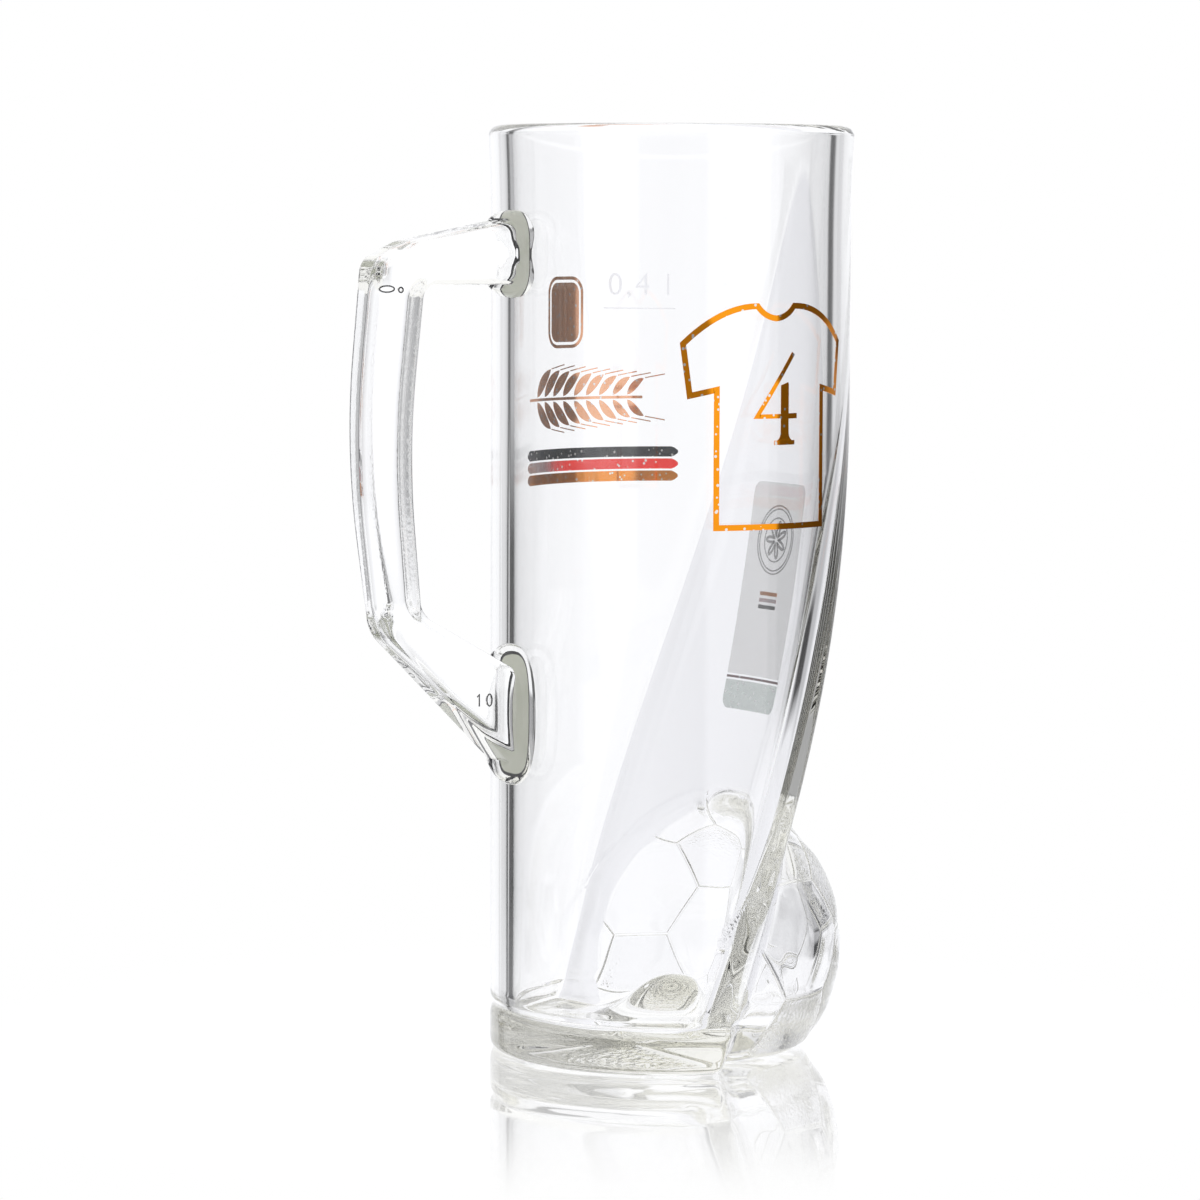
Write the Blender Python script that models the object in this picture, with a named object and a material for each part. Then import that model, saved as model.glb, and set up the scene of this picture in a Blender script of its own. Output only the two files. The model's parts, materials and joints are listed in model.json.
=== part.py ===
"""Glass beer mug with a football moulded into its foot, as separate pieces at real size.

Metres, +Z up. +X is the front, where a sloping panel runs down to the ball; the handle
is at -X. The origin lies under the middle of the whole mug's box, on the table.
"""
import math

import bmesh
import bpy
import numpy as np
from mathutils import Matrix, Vector

# Body: a round wall on a low foot
HEIGHT = 0.192
BODY_RADIUS = 0.0372
WALL = 0.0048
FLOOR = 0.007
FLOOR_ROUND = 0.005
KNOB_HEIGHT = 0.009
KNOB_REACH = 0.01
KNOB_SKIRT = 0.02
RIM_FLARE = 0.0006
FLARE_LENGTH = 0.025
RIM_ROUND = 0.0018
FOOT_HEIGHT = 0.009
FOOT_EDGE = 0.0012
GROOVE_DEPTH = 0.0006
GROOVE_WIDTH = 0.0024

# Front panel: a crowned face that leans back from the rim to the foot
FOOT_DEPTH = 0.0398
PANEL_TIP_DROP = 0.006
PANEL_BOW = 0.0076
CROWN_AT_FOOT = 0.062
CROWN_AT_TIP = 0.157
PANEL_CORNER = 0.002
CAVITY_CORNER = 0.005
FRONT_TURN = math.radians(-2.5)

# Ball: hollow, standing in front of the panel's foot
BALL_RADIUS = 0.0333
BALL_INSET = 0.0004
BALL_Z = 0.0218
BALL_WALL = 0.0055
BALL_FLOOR_STEP = 0.001
SEAM_WIDTH = 0.0012
SEAM_DEPTH = 0.0005
BALL_ROLL = math.radians(4.6)
BALL_TURN = math.radians(4.5)

# Handle: pressed bar, welded to the wall at two squeezed pads
FINGER_GAP = 0.028
GRIP_THICKNESS = 0.0096
GRIP_BOW = 0.0036
HANDLE_WIDTH = 0.0126
HANDLE_EDGE = 0.003
BEND_RADIUS = 0.008
SHOULDER_RADIUS = 0.0045
BOW_RADIUS = 0.16
TOP_INNER_RADIUS = 0.003
LOWER_INNER_RADIUS = 0.005
UPPER_ARM_DROP = 0.0324
UPPER_ARM_AT_WALL = 0.0136
UPPER_ARM_AT_GRIP = 0.0088
LOWER_ARM_Z = 0.0586
LOWER_ARM_AT_WALL = 0.0214
LOWER_CORNER_Z = 0.094
LOWER_CORNER_DROP = 0.0042
PAD_PROUD = 0.0042
PAD_WIDTH = 0.015
PAD_BLUNTNESS = 3.5
UPPER_PAD_BELOW = 0.0028
UPPER_PAD_ABOVE = 0.0014
LOWER_PAD_BELOW = 0.0011
LOWER_PAD_ABOVE = 0.0065
WELD_GAP = 0.0003
WELD_BITE = 0.004

# Prints: fired-on colour, drawn flat and laid on the glass
PRINT_GAP = 0.0003
PRINT_THICKNESS = 0.0002
PRINT_STEP = 0.0025
SHIRT_AZIMUTH = math.radians(-88.5)
SHIRT_HEM_Z = 0.1113
SHIRT_HEIGHT = 0.0444
SHIRT_SPAN = 0.0402
SHIRT_BODY = 0.0264
SHIRT_NECK = 0.009
SHIRT_LINE = 0.0012
NUMBER_HEIGHT = 0.018
NUMBER_WIDTH = 0.0098
NUMBER_LIFT = 0.0163
NUMBER_STEM = 0.002
NUMBER_LINE = 0.001
BADGE_AZIMUTH = math.radians(100.0)
BADGE_Z = 0.1528
BADGE_WIDTH = 0.012
BADGE_HEIGHT = 0.0152
BADGE_CORNER = 0.0035
BADGE_FRAME = 0.0007
BADGE_MARGIN = 0.0006
BARLEY_AZIMUTH = math.radians(90.0)
BARLEY_Z = 0.1345
BARLEY_LENGTH = 0.044
BARLEY_HEIGHT = 0.0144
BARLEY_GRAINS = 9
STRIPE_Z = 0.1165
STRIPE_LENGTH = 0.047
STRIPE_HEIGHT = 0.0022
STRIPE_GAP = 0.0004
STRIPE_SLANT = 0.0016
LABEL_Z = 0.069
LABEL_WIDTH = 0.0216
LABEL_HEIGHT = 0.048
LABEL_CORNER = 0.0022
LABEL_BAND = 0.006
LABEL_RULE = 0.0005
LABEL_GAP = 0.0004

# Fineness of the meshes
TIP_SNAP = 0.00001
BACK_STEPS = 64
FRONT_STEPS = 10
CORNER_STEPS = 3
BODY_LEVELS = 13
ROUND_STEPS = 3
ARC_STEPS = 6
BALL_EDGE_STEPS = 3
CAVITY_BALL_SEGMENTS = 48
KNOB_SEGMENTS = 36
KNOB_STEPS = 8
PAD_SEGMENTS = 24
WELD_SEGMENTS = 128

# Allowances for the Booleans, which need a clear overlap
TABLE_CUT = 0.002
TABLE_CLEAR = 0.0002

# Places that follow from the sizes above
WELD_RADIUS = BODY_RADIUS + WELD_GAP
BALL_X = BODY_RADIUS - BALL_RADIUS - BALL_INSET
PANEL_TIP_Z = HEIGHT - PANEL_TIP_DROP
PANEL_FOOT_X = FOOT_DEPTH - BODY_RADIUS


def clear_scene():
    """Remove whatever the scene holds."""
    for item in list(bpy.data.objects):
        bpy.data.objects.remove(item, do_unlink=True)


def make_material(name, color, roughness, metallic=0.0, transmission=0.0):
    """A Principled material of one colour."""
    material = bpy.data.materials.new(name)
    material.use_nodes = True
    shader = material.node_tree.nodes["Principled BSDF"]
    shader.inputs["Base Color"].default_value = (*color, 1.0)
    shader.inputs["Roughness"].default_value = roughness
    shader.inputs["Metallic"].default_value = metallic
    shader.inputs["Transmission Weight"].default_value = transmission
    material.diffuse_color = (*color, 1.0)
    return material


def axis_x():
    """Place of the mug's axis that puts the middle of the whole mug's box at the origin."""
    reach = max(-x for x, z in handle_sides()[0])
    rim = BODY_RADIUS + flare(HEIGHT - RIM_ROUND)
    return (reach - rim) / 2


def add_object(name, bm, material=None):
    """Turn a bmesh into an object on the mug's axis, shaded smooth but for its sharp edges."""
    mesh = bpy.data.meshes.new(name)
    bm.to_mesh(mesh)
    bm.free()
    mesh.shade_smooth()
    mesh.set_sharp_from_angle(angle=math.radians(35))
    item = bpy.data.objects.new(name, mesh)
    item.location.x = axis_x()
    bpy.context.collection.objects.link(item)
    if material:
        mesh.materials.append(material)
    return item


def as_cutter(item):
    """Mark an object as a shape that only adds to or cuts another."""
    item.hide_render = True
    item.display_type = "WIRE"
    return item


def add_boolean(item, other, operation):
    """Join another shape to an object, or cut it away."""
    modifier = item.modifiers.new(f"{operation.lower()} {other.name}", "BOOLEAN")
    modifier.operation = operation
    modifier.solver = "EXACT"
    modifier.object = other


def arc_points(centre, radius, start, end, steps):
    """Points on an arc, both ends included."""
    angles = np.linspace(start, end, steps + 1)
    return [(centre[0] + radius * math.cos(a), centre[1] + radius * math.sin(a)) for a in angles]


def rounded_outline(corners, steps):
    """Outline through corners given as (x, y, radius), each corner turned on an arc of so many steps."""
    outline = []
    for i, (x, y, radius) in enumerate(corners):
        here = Vector((x, y))
        back = (Vector(corners[i - 1][:2]) - here).normalized()
        ahead = (Vector(corners[(i + 1) % len(corners)][:2]) - here).normalized()
        if radius == 0:
            outline.append((x, y))
            continue
        half = back.angle(ahead) / 2
        centre = here + (back + ahead).normalized() * radius / math.sin(half)
        first = here + back * radius / math.tan(half) - centre
        last = here + ahead * radius / math.tan(half) - centre
        start = math.atan2(first.y, first.x)
        turn = (math.atan2(last.y, last.x) - start + math.pi) % (2 * math.pi) - math.pi
        outline += arc_points(centre, radius, start, start + turn, steps)
    return outline


def panel_x(z):
    """Middle line of the front panel: one arc from the foot up to the tip under the rim."""
    foot = Vector((PANEL_FOOT_X, 0.0))
    chord = Vector((BODY_RADIUS, PANEL_TIP_Z)) - foot
    radius = (chord.length ** 2 / 4 + PANEL_BOW ** 2) / (2 * PANEL_BOW)
    inward = Vector((-chord.y, chord.x)).normalized()
    centre = foot + chord / 2 + inward * (radius - PANEL_BOW)
    rise = min(z, PANEL_TIP_Z) - centre.y
    return centre.x + math.sqrt(radius ** 2 - rise ** 2)


def panel_crown(z):
    """Radius of the front panel's crown at a height: it grows with the square of the height, flattest at the tip."""
    return CROWN_AT_FOOT + (CROWN_AT_TIP - CROWN_AT_FOOT) * min(max(z / PANEL_TIP_Z, 0.0), 1.0) ** 2


def section(radius, front, crown, corner):
    """Level section: a circle cut by a crowned front, with its two corners rounded.

    Where the front lies outside the circle, the section is the whole circle and the
    points of the front fall together at its foremost point.
    """
    front = min(front, radius)
    shift = front - crown
    fillet_x = (shift ** 2 - (crown - corner) ** 2 + (radius - corner) ** 2) / (2 * shift)
    cuts_circle = radius - front > TIP_SNAP
    fillet_y = math.sqrt((radius - corner) ** 2 - fillet_x ** 2) if cuts_circle else 0.0
    turn_front = math.atan2(fillet_y, fillet_x - shift)
    turn_back = math.atan2(fillet_y, fillet_x)
    points = arc_points((shift, 0), crown, -turn_front, turn_front, FRONT_STEPS)
    points += arc_points((fillet_x, fillet_y), corner, turn_front, turn_back, CORNER_STEPS)[1:]
    points += arc_points((0, 0), radius, turn_back, 2 * math.pi - turn_back, BACK_STEPS)[1:]
    points += arc_points((fillet_x, -fillet_y), corner, -turn_back, -turn_front, CORNER_STEPS)[1:-1]
    return points


def loft(rings):
    """Closed skin over a row of rings, each with the same number of points."""
    bm = bmesh.new()
    loops = [[bm.verts.new(point) for point in ring] for ring in rings]
    for low, high in zip(loops, loops[1:]):
        for i in range(len(low)):
            bm.faces.new((low[i - 1], low[i], high[i], high[i - 1]))
    bm.faces.new(loops[0])
    bm.faces.new(loops[-1])
    bmesh.ops.remove_doubles(bm, verts=bm.verts, dist=1e-6)
    bmesh.ops.dissolve_degenerate(bm, edges=bm.edges, dist=1e-6)
    bmesh.ops.recalc_face_normals(bm, faces=bm.faces)
    return bm


def flare(z):
    """How far the wall stands out near the rim, where the mug widens a little."""
    rise = max(0.0, (z - (HEIGHT - FLARE_LENGTH)) / FLARE_LENGTH)
    return RIM_FLARE * min(rise, 1.0) ** 2


def body_section(z, inset):
    """Section of the body's outside at a height, set in by a distance all round."""
    out = flare(z) - inset
    points = section(BODY_RADIUS + out, panel_x(z) + out, panel_crown(z) + out, PANEL_CORNER + out)
    return [(x, y, z) for x, y in points]


def cavity_section(z, inset):
    """Section of the body's inside at a height: the wall's thickness in from the outside."""
    lean = (panel_x(z + WALL) - panel_x(z)) / WALL
    out = flare(z) - inset
    front = panel_x(z) - WALL * math.hypot(1, lean)
    points = section(BODY_RADIUS - WALL + out, front + out, panel_crown(z) - WALL + out, CAVITY_CORNER)
    return [(x, y, z) for x, y in points]


def body_solid():
    """Outside of the body without the ball, run on a little below the table it is cut to."""
    quarter = np.linspace(0, math.pi / 2, ROUND_STEPS + 1)
    levels = [(-TABLE_CUT, FOOT_EDGE)]
    levels += [(TABLE_CLEAR + FOOT_EDGE * (1 - math.sin(a)), FOOT_EDGE * (1 - math.cos(a)))
               for a in quarter[::-1]]
    levels += [(FOOT_HEIGHT + GROOVE_WIDTH * (1 - math.cos(a)) / 2, GROOVE_DEPTH * math.sin(a))
               for a in np.linspace(0, math.pi, 2 * ROUND_STEPS + 1)]
    wall_start = FOOT_HEIGHT + GROOVE_WIDTH
    levels += [(z, 0.0) for z in np.linspace(wall_start, PANEL_TIP_Z, BODY_LEVELS)[1:]]
    levels += [(HEIGHT - RIM_ROUND * (1 - math.sin(a)), RIM_ROUND * (1 - math.cos(a))) for a in quarter]
    return loft([body_section(z, inset) for z, inset in levels])


def cavity_solid():
    """Inside of the body without the ball's hollow, open past the rim."""
    quarter = np.linspace(0, math.pi / 2, ROUND_STEPS + 1)
    levels = [(FLOOR + FLOOR_ROUND * (1 - math.sin(a)), FLOOR_ROUND * (1 - math.cos(a))) for a in quarter[::-1]]
    top = HEIGHT - RIM_ROUND
    levels += [(z, 0.0) for z in np.linspace(FLOOR + FLOOR_ROUND, top, BODY_LEVELS)[1:]]
    levels += [(top + RIM_ROUND * math.sin(a), -RIM_ROUND * (1 - math.cos(a))) for a in quarter[1:-1]]
    levels += [(HEIGHT + TABLE_CLEAR, -RIM_ROUND), (HEIGHT + WALL, -RIM_ROUND)]
    return loft([cavity_section(z, inset) for z, inset in levels])


def ball_solid():
    """Football: twelve five-sided and twenty six-sided panels with a seam groove between them.

    A five-sided panel is nearly on top, and one of the lower five nearly faces the front.
    """
    bm = bmesh.new()
    in_groove = bm.verts.layers.float.new("in groove")
    lie = Matrix.Rotation(BALL_ROLL, 4, "X") @ Matrix.Rotation(math.pi + BALL_TURN, 4, "Z")
    bmesh.ops.create_icosphere(bm, subdivisions=1, radius=BALL_RADIUS, matrix=lie)
    bmesh.ops.bevel(bm, geom=bm.verts[:], offset=100 / 3, offset_type="PERCENT", affect="VERTICES", segments=1)
    panels = bm.faces[:]
    bmesh.ops.inset_individual(bm, faces=panels, thickness=SEAM_WIDTH / 2, use_even_offset=True)
    on_panel = {vert for face in panels for vert in face.verts}
    for vert in bm.verts:
        vert[in_groove] = 0.0 if vert in on_panel else 1.0
    bmesh.ops.poke(bm, faces=panels)
    long_edges = [edge for edge in bm.edges if edge.calc_length() > 2 * SEAM_WIDTH]
    bmesh.ops.subdivide_edges(bm, edges=long_edges, cuts=BALL_EDGE_STEPS - 1, use_grid_fill=True)
    for vert in bm.verts:
        depth = SEAM_DEPTH if vert[in_groove] > 0.999 else 0.0
        vert.co = vert.co.normalized() * (BALL_RADIUS - depth)
    bmesh.ops.translate(bm, verts=bm.verts, vec=(BALL_X, 0, BALL_Z))
    bmesh.ops.triangulate(bm, faces=bm.faces)
    return bm


def ball_cavity():
    """Hollow of the ball, with a floor of its own a step above the mug's."""
    bm = bmesh.new()
    half_step = Matrix.Rotation(math.pi / CAVITY_BALL_SEGMENTS, 4, "Z")
    place = Matrix.Translation((BALL_X, 0, BALL_Z)) @ half_step
    bmesh.ops.create_uvsphere(bm, u_segments=CAVITY_BALL_SEGMENTS, v_segments=CAVITY_BALL_SEGMENTS // 2,
                              radius=BALL_RADIUS - BALL_WALL, matrix=place)
    cut = bmesh.ops.bisect_plane(bm, geom=bm.verts[:] + bm.edges[:] + bm.faces[:], clear_outer=True,
                                 plane_co=(0, 0, FLOOR + BALL_FLOOR_STEP), plane_no=(0, 0, -1))
    rim = [part for part in cut["geom_cut"] if isinstance(part, bmesh.types.BMEdge)]
    bmesh.ops.contextual_create(bm, geom=rim)
    bmesh.ops.recalc_face_normals(bm, faces=bm.faces)
    return bm


def floor_knob():
    """Rise of glass in the middle of the floor: a bell about the axis, run on down into the floor."""
    turns = np.linspace(0, 2 * math.pi, KNOB_SEGMENTS, endpoint=False)
    levels = [(KNOB_SKIRT, FLOOR / 2)]
    levels += [(radius, FLOOR + KNOB_HEIGHT * math.exp(-(radius / KNOB_REACH) ** 2))
               for radius in np.linspace(KNOB_SKIRT, KNOB_REACH / KNOB_STEPS, KNOB_STEPS)]
    return loft([[(radius * math.cos(a), radius * math.sin(a), z) for a in turns] for radius, z in levels])


def turn_front(bm):
    """Turn a shape about the mug's axis, to where the panel faces against the handle."""
    bmesh.ops.rotate(bm, verts=bm.verts, cent=(0, 0, 0), matrix=Matrix.Rotation(FRONT_TURN, 3, "Z"))
    return bm


def build_vessel(glass):
    """The blown vessel: body and ball in one wall of glass, cut flat where it stands."""
    vessel = add_object("vessel", turn_front(body_solid()), glass)
    below = bmesh.new()
    bmesh.ops.create_cube(below, size=4 * BODY_RADIUS, matrix=Matrix.Translation((0, 0, -2 * BODY_RADIUS)))
    add_boolean(vessel, as_cutter(add_object("ball outside", turn_front(ball_solid()))), "UNION")
    add_boolean(vessel, as_cutter(add_object("body inside", turn_front(cavity_solid()))), "DIFFERENCE")
    add_boolean(vessel, as_cutter(add_object("ball inside", turn_front(ball_cavity()))), "DIFFERENCE")
    add_boolean(vessel, as_cutter(add_object("knob", floor_knob())), "UNION")
    add_boolean(vessel, as_cutter(add_object("below the table", below)), "DIFFERENCE")


def handle_sides():
    """Outer and inner side lines of the handle bar, in X and Z, matched point for point."""
    wall = -BODY_RADIUS
    inside = wall - FINGER_GAP
    outside = inside - GRIP_THICKNESS
    under = HEIGHT - UPPER_ARM_DROP
    shoulder = under + UPPER_ARM_AT_GRIP
    heel = LOWER_CORNER_Z - LOWER_CORNER_DROP
    middle = (under + LOWER_CORNER_Z) / 2
    upper_bend = (inside + GRIP_BOW / 2, shoulder)
    heel_bend = (outside + 1.5 * GRIP_BOW, heel)
    inner_bend = (inside + 0.8 * GRIP_BOW, LOWER_CORNER_Z)
    upper_root = run_in(upper_bend, (wall, under + UPPER_ARM_AT_WALL))
    heel_root = run_in(heel_bend, (wall, LOWER_ARM_Z))
    inner_root = run_in(inner_bend, (wall, LOWER_ARM_Z + LOWER_ARM_AT_WALL))
    outer = [(*upper_root, 0), (*upper_bend, BEND_RADIUS),
             (outside + GRIP_BOW, shoulder - GRIP_BOW, SHOULDER_RADIUS), (outside, middle, BOW_RADIUS),
             (*heel_bend, BEND_RADIUS), (*heel_root, 0)]
    inner_top = (inside + GRIP_BOW, under)
    upper_inner = [(wall + WELD_BITE, under, 0), (*inner_top, TOP_INNER_RADIUS), (inside, middle, 0)]
    lower_inner = [(*inner_top, 0), (inside, middle, BOW_RADIUS), (*inner_bend, LOWER_INNER_RADIUS),
                   (*inner_root, 0)]
    inner = rounded_outline(upper_inner, 2 * ARC_STEPS + 1)[:-1] + rounded_outline(lower_inner, ARC_STEPS)[1:]
    return rounded_outline(outer, ARC_STEPS), inner


def run_in(bend, root):
    """The line from a bend to the wall, carried on into the wall by the weld's bite."""
    share = 1 + WELD_BITE / (root[0] - bend[0])
    return tuple(a + share * (b - a) for a, b in zip(bend, root))


def handle_bar():
    """The bar: a box section with round edges, carried along between its two side lines."""
    rings = []
    for outer, inner in zip(*handle_sides()):
        out = Vector((outer[0], 0, outer[1]))
        span = out - Vector((inner[0], 0, inner[1]))
        across = span.normalized()
        middle = out - span / 2
        box = rounded_box(span.length, HANDLE_WIDTH, HANDLE_EDGE)
        rings.append([middle + across * a + Vector((0, b, 0)) for a, b in box])
    return loft(rings)


def weld_pad(low, high):
    """A squeezed pad of glass on the wall between two heights: a blunt, flattened round."""
    bm = bmesh.new()
    bmesh.ops.create_uvsphere(bm, u_segments=PAD_SEGMENTS, v_segments=PAD_SEGMENTS // 2, radius=1.0)
    half = Vector((2 * PAD_PROUD, PAD_WIDTH / 2, (high - low) / 2))
    centre = Vector((PAD_PROUD - BODY_RADIUS, 0, (low + high) / 2))
    for vert in bm.verts:
        blunt = sum(abs(value) ** PAD_BLUNTNESS for value in vert.co) ** (-1 / PAD_BLUNTNESS)
        vert.co = centre + vert.co * blunt * half
    return bm


def build_handle(glass):
    """The pressed handle with its two weld pads, fitted to the round wall."""
    handle = add_object("handle", handle_bar(), glass)
    under = HEIGHT - UPPER_ARM_DROP
    welds = {"upper pad": (under - UPPER_PAD_BELOW, under + UPPER_ARM_AT_WALL + UPPER_PAD_ABOVE),
             "lower pad": (LOWER_ARM_Z - LOWER_PAD_BELOW, LOWER_ARM_Z + LOWER_ARM_AT_WALL + LOWER_PAD_ABOVE)}
    for name, (low, high) in welds.items():
        add_boolean(handle, as_cutter(add_object(name, weld_pad(low, high))), "UNION")
    wall = bmesh.new()
    half_step = Matrix.Rotation(math.pi / WELD_SEGMENTS, 4, "Z")
    bmesh.ops.create_cone(wall, cap_ends=True, segments=WELD_SEGMENTS, radius1=WELD_RADIUS, radius2=WELD_RADIUS,
                          depth=3 * HEIGHT, matrix=half_step)
    add_boolean(handle, as_cutter(add_object("wall outside", wall)), "DIFFERENCE")


def on_wall(azimuth, along, z):
    """Point on the round wall's print layer, a distance along it from an azimuth."""
    radius = BODY_RADIUS + PRINT_GAP
    angle = azimuth + along / radius
    return radius * math.cos(angle), radius * math.sin(angle), z


def on_front(along, z):
    """Point on the front panel's print layer, a distance across it from the middle."""
    lean = (panel_x(z + WALL) - panel_x(z)) / WALL
    lift = PRINT_GAP * math.hypot(1, lean)
    crown = panel_crown(z)
    out = panel_x(z) - crown + math.sqrt(crown ** 2 - along ** 2) + lift
    cos, sin = math.cos(FRONT_TURN), math.sin(FRONT_TURN)
    return out * cos - along * sin, out * sin + along * cos, z


def add_print(name, loops, lay, material):
    """A thin coat of colour: a flat outline, or a ring between two, laid on the glass.

    The flat sheet is sliced both ways, so that it follows the glass once it is laid.
    """
    bm = bmesh.new()
    rims = []
    for loop in loops:
        verts = [bm.verts.new((along, 0, z)) for along, z in loop]
        rims.append([bm.edges.new((verts[i - 1], verts[i])) for i in range(len(verts))])
        if len(loops) == 1:
            bm.faces.new(verts)
    if len(loops) == 2:
        bmesh.ops.bridge_loops(bm, edges=rims[0] + rims[1])
    for axis, normal in ((0, (1, 0, 0)), (2, (0, 0, 1))):
        values = [vert.co[axis] for vert in bm.verts]
        for k in range(math.ceil(min(values) / PRINT_STEP), math.ceil(max(values) / PRINT_STEP)):
            bmesh.ops.bisect_plane(bm, geom=bm.verts[:] + bm.edges[:] + bm.faces[:], dist=1e-6,
                                   plane_co=[k * PRINT_STEP * n for n in normal], plane_no=normal)
    for vert in bm.verts:
        vert.co = lay(vert.co.x, vert.co.z)
    bmesh.ops.triangulate(bm, faces=bm.faces)
    bmesh.ops.recalc_face_normals(bm, faces=bm.faces)
    bm.faces.ensure_lookup_table()
    face = bm.faces[0]
    if face.normal.dot(Vector((face.calc_center_median().x, face.calc_center_median().y, 0))) < 0:
        bmesh.ops.reverse_faces(bm, faces=bm.faces)
    item = add_object(name, bm, material)
    coat = item.modifiers.new("coat", "SOLIDIFY")
    coat.thickness = PRINT_THICKNESS
    coat.offset = 1.0


def offset_loop(points, distance):
    """A closed outline moved sideways by a distance, its corners mitred."""
    moved = []
    for i, point in enumerate(points):
        here = Vector(point)
        ahead = (Vector(points[(i + 1) % len(points)]) - here).normalized()
        back = (here - Vector(points[i - 1])).normalized()
        normal = (Vector((ahead.y, -ahead.x)) + Vector((back.y, -back.x))).normalized()
        moved.append(here + normal * distance / normal.dot(Vector((ahead.y, -ahead.x))))
    return [(point.x, point.y) for point in moved]


def rounded_box(width, height, corner):
    """Upright box about the origin with round corners, counter-clockwise."""
    x, y = width / 2, height / 2
    corners = [(-x, -y, corner), (x, -y, corner), (x, y, corner), (-x, y, corner)]
    return rounded_outline(corners, ROUND_STEPS)


def shirt_line():
    """Middle of the shirt's drawn line, counter-clockwise from the hem."""
    body, span, neck = SHIRT_BODY / 2, SHIRT_SPAN / 2, SHIRT_NECK / 2
    cuff_low, cuff_high, armpit = SHIRT_HEIGHT * 0.595, SHIRT_HEIGHT * 0.827, SHIRT_HEIGHT * 0.624
    right = [(body, 0.0), (body, armpit), (span * 0.93, cuff_low), (span, cuff_high)]
    right += [(span * 0.62, SHIRT_HEIGHT * 0.945), (neck, SHIRT_HEIGHT), (neck * 0.55, SHIRT_HEIGHT * 0.957)]
    left = [(-x, z) for x, z in reversed(right)]
    return right + [(0.0, SHIRT_HEIGHT * 0.942)] + left


def number_outline():
    """A plain figure four: slanting stroke, bar, stem and foot in one outline."""
    line, width, height = NUMBER_LINE, NUMBER_WIDTH, NUMBER_HEIGHT
    bar, foot, tip = height * 0.28, line * 0.9, width * 0.93
    bar_top = bar + line
    left = width * 0.6
    right = left + NUMBER_STEM
    serif = NUMBER_STEM * 0.7
    open_top = height * 0.66
    base = [(left - serif, 0), (right + serif, 0), (right + serif, foot), (right, foot), (right, bar)]
    stem = [(width, bar), (width, bar_top), (right, bar_top), (right, open_top), (left, open_top - NUMBER_STEM)]
    slant = [(left, bar_top), (line * 1.9, bar_top), (tip, height), (tip - line * 1.6, height)]
    return base + stem + slant + [(0, bar_top), (0, bar), (left, bar), (left, foot), (left - serif, foot)]


def barley_outline():
    """An ear of barley lying along the wall: a tapering row of grains on each side of its stem."""
    steps = BARLEY_GRAINS * 4
    upper = []
    for k in range(steps + 1):
        share = k / steps
        plump = math.sin(math.pi * min(1.0, 0.12 + 0.88 * share)) ** 0.6 if share < 1 else 0.05
        grain = (share * BARLEY_GRAINS) % 1.0
        bulge = 0.45 + 0.55 * math.sin(math.pi * (0.15 + 0.85 * grain)) ** 1.5
        upper.append((BARLEY_LENGTH * (0.5 - share), BARLEY_HEIGHT / 2 * max(plump * bulge, 0.05)))
    lower = [(x, -z) for x, z in reversed(upper)]
    return upper + lower


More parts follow.
